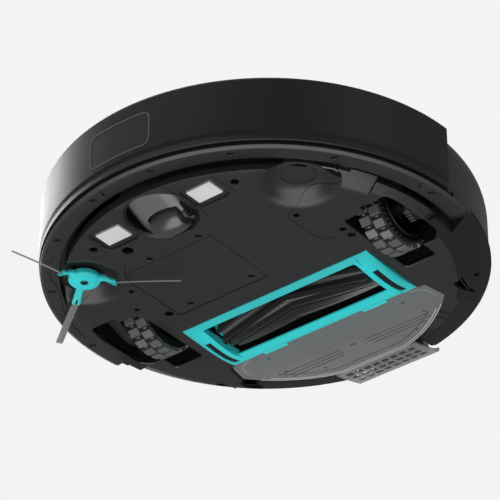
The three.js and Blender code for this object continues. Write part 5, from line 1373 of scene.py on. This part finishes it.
dustBin = {
    "mouths": [(58, 70.2, 74, 2, 30, 49), (30, 132, 137, 0.5, 20, 51)],
    "low": 12.0, "borderLow": 11.6, "borderWide": 3.4, "wall": 1.7, "top": 54.9, "soft": 1.6,
    "ribsFrom": 74.4, "ribStep": 3.9, "ribs": 8, "ribHalf": 0.5, "ribReach": 91.0, "trim": (1.2, 3.4, 8.6),
    "trimWide": 0.85,
    "bars": [(12, 74, 107.5), (12, 72, 111.5), (14, 66, 115.5)], "clasp": (0, 107.5, 6.5, 3.4),
    "marks": [(-64, 82), (66, 84), (72, 104), (-66, 106), (52, 121), (-38, 121)],
    "corners": [(78, 75.5), (85, 76.5), (89.5, 80), (91.5, 88)],
    "panelHalf": 102.6, "blowerHalf": 36, "keyGrooves": (49.2, 51, 52.8), "floorHalf": 99.8, "floorFrom": 101.2,
    "tailHalf": 39.3, "slots": (3, 8), "slotSize": (3.2, 2.5), "slotStep": (8.6, 8.0),
}


# the rear curve of the bin outline, drawn inwards by inset and shorter by some steps at both ends
def binArc(inset, ends):
    shape = binShape(pan, inset)
    side = shape[2:len(shape) // 2]
    whole = side + [(-x, y) for x, y in reversed(side)]
    return whole[ends:len(whole) - ends]


def buildBin(b):
    low, top, wall, out = b["low"], b["top"], b["wall"], b["borderLow"]
    soft = b["soft"]
    outer = prism(binShape(pan, 0.35),
                  [(low, -soft), (low + 0.25, -soft * 0.6), (low + 0.8, -soft * 0.25), (low + soft, 0), (top, 0)])
    inner = prism(binShape(pan, 0.35 + wall), [(low + wall, -1.2), (low + wall + 1.2, 0), (top + 1, 0)])
    mouths = [prism(softRect(-x, x, y0, y1, q), [(z0, 0), (z1, 0)]) for x, y0, y1, q, z0, z1 in b["mouths"]]
    combine(outer, [inner] + mouths)
    border = prism(binShape(pan, 0.3), [(out, -0.9), (out + 0.3, -0.25), (low + 1, 0), (low + 1.6, 0)])
    within = prism(binShape(pan, 0.3 + b["borderWide"]), [(out - 1, 0), (out + 0.2, 0), (low + 2, -0.3)])
    combine(border, [within, block(-120, 120, 60, 76, [(5, 0), (60, 0)])])
    fit(gather([outer, border]), "binBody", "dust_bin", binClear, ["bin_tray"], angle=30)

    # fine ribs across the front half, lines along the rear arc and a small clasp in the middle, drawn in lighter and
    # darker copies of the clear plastic: painted highlights on the ribs, the outer rear lines and the corner arcs,
    # painted shade beside the ribs and on the bars, the inner rear line, the clasp centre and the small marks
    light, shade, ribs, ribShades = [], [], [], []
    for k in range(b["ribs"]):
        y = b["ribsFrom"] + b["ribStep"] * k
        reach = b["ribReach"] - (0 if y < 92 else (y - 92) * 0.6)
        # each rib is drawn a little lighter (painted highlight) with a darker strip behind it (painted shade)
        ribs.append(prism(pad(0, y, reach, b["ribHalf"], 0.3, 1), [(out + 0.25, -0.2), (low + 0.3, 0)]))
        ribShades.append(prism(softRect(-reach + 1, reach - 1, y + b["ribHalf"], y + b["ribHalf"] + 0.55, 0.2, 1),
                           [(low - 0.15, 0), (low + 0.3, 0)]))
    # painted shade: the bars, and further down the clasp centre and the small marks
    for x0, x1, y in b["bars"]:
        for xa, xb in ((x0, x1), (-x1, -x0)):
            shade.append(prism(softRect(xa, xb, y - 0.5, y + 0.5, 0.4, 2), [(low - 0.12, 0), (low + 0.3, 0)]))
    # the two outer rear lines are painted highlights, the inner one painted shade
    for k, inset in enumerate(b["trim"]):
        group, foot = (light, out - 0.2) if k < 2 else (shade, low - 0.15)
        group.append(strip(binArc(inset, 1 + k), b["trimWide"], foot, low + 0.3))
    cx, cy, w, d = b["clasp"]
    clasp = prism(pad(cx, cy, w, d, 1.6), [(out + 0.2, -0.4), (low + 0.3, 0)])
    inside = prism(softRect(cx - w + 1.3, cx + w - 1.3, cy - d + 1.3, cy + d - 1.3, 1), [(0, 0), (low + 1, 0)])
    ribs.append(combine(clasp, [inside]))
    shade.append(prism(pad(cx, cy, w * 0.5, d * 0.4, 0.8), [(out + 0.35, -0.3), (low + 0.3, 0)]))
    # small round marks of painted shade
    for x, y in b["marks"]:
        shade.append(turn([(0, low - 0.3), (1.3, low - 0.3), (1.6, low), (1.6, low + 0.4), (0, low + 0.4)], 20,
                          about=(x, y)))
    # the corner arcs are painted highlights
    for side in (1, -1):
        light.append(strip(smoothPath([(side * x, y) for x, y in b["corners"]]), 0.5, low - 0.1, low + 0.3))
    groups = ((light, "binTrimHighlights", binHighlight), (shade, "binShadeMarks", binPaintedShade), (ribs, "binRibHighlights", binRibHighlight),
              (ribShades, "binRibShades", binRibShade))
    for pieces, name, finish in groups:
        fit(gather(pieces), name, "dust_bin", finish, angle=30)

    lid = lowest("bin_lid", 2) + 2.3
    plate = prism(binShape(pan, 0.35), [(lid, 0), (lid + 1.6, 0), (lid + 1.95, -0.5)])
    grip = prism(softRect(-18, 18, highest("bin_tray", 1) - 22, highest("bin_tray", 1) - 12, 2),
                 [(lid + 1, 0), (lid + 2.4, 0), (lid + 2.55, -0.3)])
    fit(gather([plate, grip]), "binCover", "dust_bin", innerPlastic, ["bin_lid"])


def buildTail(b):
    y0, y1 = lowest("exhaust_grille", 1) + 0.05, highest("exhaust_grille", 1) - 0.08
    low, high, half = lowest("exhaust_grille", 2), highest("exhaust_grille", 2) - 0.05, b["tailHalf"]
    flange = body["flangeTop"] - 2.2
    run, climb = y1 - 5.5 - y0, flange - 4.4 - low
    under = [(y0, low + 0.05)] + [(y0 + run * t, low + 0.05 + climb * t ** 1.25) for t in (0.2, 0.4, 0.6, 0.8, 1)]
    back = [(y1 - 2.2, flange - 1.6), (y1 - 0.6, flange + 1), (y1, flange + 3.6), (y1, high - 1.2),
            (y1 - 0.5, high - 0.3), (y1 - 1.3, high), (y1 - 7.5, high), (y1 - 7.5, high - 1.9),
            (y1 - 2.2, high - 2.1), (y1 - 2.2, flange + 4), (y1 - 3, flange + 1.6), (y1 - 6.4, flange - 1.2)]
    side = under + back + [(y, h + 2) for y, h in reversed(under[:-1])]
    tail = slab(side, [(-half, -0.6), (-half + 0.6, 0), (half - 0.6, 0), (half, -0.6)])
    combine(tail, [post(y1, 0, 60, 240)], "INTERSECT")
    rows, columns = b["slots"]
    w, d = b["slotSize"]
    sx, sy = b["slotStep"]
    holes = []
    for i in range(rows):
        for k in range(columns):
            x, y = sx * (k - (columns - 1) / 2), y0 + 7.8 + sy * i
            holes.append(prism(pad(x, y, w, d, 0.8, 2), [(5, 0), (flange + 1, 0)]))
    combine(tail, [gather(holes)])
    fit(tail, "exhaustTail", "dust_bin", binClear, ["exhaust_grille"], angle=32)


def buildRearPanel(b):
    top, r = highest("bin_rear_panel", 2) - 0.05, body["shellRadius"]
    rim = body["skirtRadius"] - 0.3
    flange = body["flangeTop"]
    low = lowest("bin_rear_panel", 2) + 0.1
    band = turn([(152, low + 2.2), (152, low + 0.1), (162.3, low + 0.2), (166, low + 2.4), (169.4, low + 4.6),
                 (rim - 0.25, low + 5.6), (rim, low + 6.2), (rim, flange - 0.3), (r + 0.2, flange + 0.8),
                 (r - 0.05, flange + 1.8),
                 (r - 0.05, top), (r - 2.8, top), (r - 2.8, flange), (160, low + 2.2)], 240, 130, 230)
    combine(band, [block(-b["panelHalf"], b["panelHalf"], 60, 200, [(0, 0), (80, 0)])], "INTERSECT")
    floor = ringPart(96, 154, low + 0.3, low + 2.1, 130, 230)
    combine(floor, [block(-b["floorHalf"], b["floorHalf"], b["floorFrom"], 200, [(0, 0), (80, 0)])], "INTERSECT")
    combine(band, [floor], "UNION")
    tailHalf, tailTop = highest("exhaust_grille", 0) + 0.3, highest("exhaust_grille", 2) + 0.3
    y1 = highest("blower_case", 1) + 0.3
    cuts = [prism(binShape(pan), [(0, 0), (90, 0)]),
            block(-b["blowerHalf"], b["blowerHalf"], 0, y1, [(0, 0), (90, 0)]),
            wallOf([(-tailHalf, 0), (tailHalf, 0), (tailHalf, tailTop), (-tailHalf, tailTop)], [(60, 0), (200, 0)])]
    (x0, x1), (z0, z1) = [(lowest("bin_release_button", axis), highest("bin_release_button", axis))
                          for axis in (0, 2)]
    key = softRect(x0 - 0.3, x1 + 0.3, z0 - 0.3, z1 + 0.3, 3)
    cuts.append(wallOf(key, [(150, 0), (r - 0.6, 0), (r + 0.4, 0.6), (r + 4, 0.6)]))
    for tool in cuts:
        combine(band, [tool])
    fit(band, "rearPanel", "dust_bin", matt, ["bin_rear_panel"], angle=30)
    band.data.materials.append(skirtPlastic)
    for face in band.data.polygons:
        if face.center.xy.length > (pan["rearFlat"] + 1) * mm and face.normal.z < -0.3:
            face.material_index = 1

    cap = ringPart(r - 5.8, r + 0.45, 20, 90, 170, 190)
    face = softRect(x0 + 0.05, x1 - 0.05, z0 + 0.05, z1 - 0.05, 2.9)
    combine(cap, [wallOf(face, [(150, 0), (r - 0.2, 0), (r + 0.6, -0.5)])], "INTERSECT")
    grooves = [prism(softRect(-7, 7, r - 0.15, r + 2, 0.2, 1), [(h, 0), (h + 0.6, 0)]) for h in b["keyGrooves"]]
    combine(cap, [gather(grooves)])
    fit(cap, "releaseKey", "bin_button", innerPlastic, ["bin_release_button"])


buildBin(dustBin)
buildTail(dustBin)
buildRearPanel(dustBin)
print("dust bin built")

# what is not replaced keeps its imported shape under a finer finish

carried = {
    "contact": contactMetal, "steel": steel, "inner": innerPlastic, "grey": greyPlastic, "body": matt,
    "gloss": glossPlastic, "window": windowPlastic,
    "accent": turquoise, "vane": vaneRubber, "tyre": treadRubber, "bristle": bristleNylon, "clear": binClear,
    "board": boardGreen, "cell": sleeve,
    "filter": paper, "bumper": wallPlastic,
}
slotOf = {part["node"]: part["material_slot"] for part in frame["record"]["subparts"]}
for node, shown in frame["nodes"].items():
    shown.data.materials.clear()
    shown.data.materials.append(carried[slotOf[node]])
    if not shown.hide_render:
        shown.data.shade_smooth()
        shown.data.set_sharp_from_angle(angle=math.radians(32))
print("carried-over parts finished")
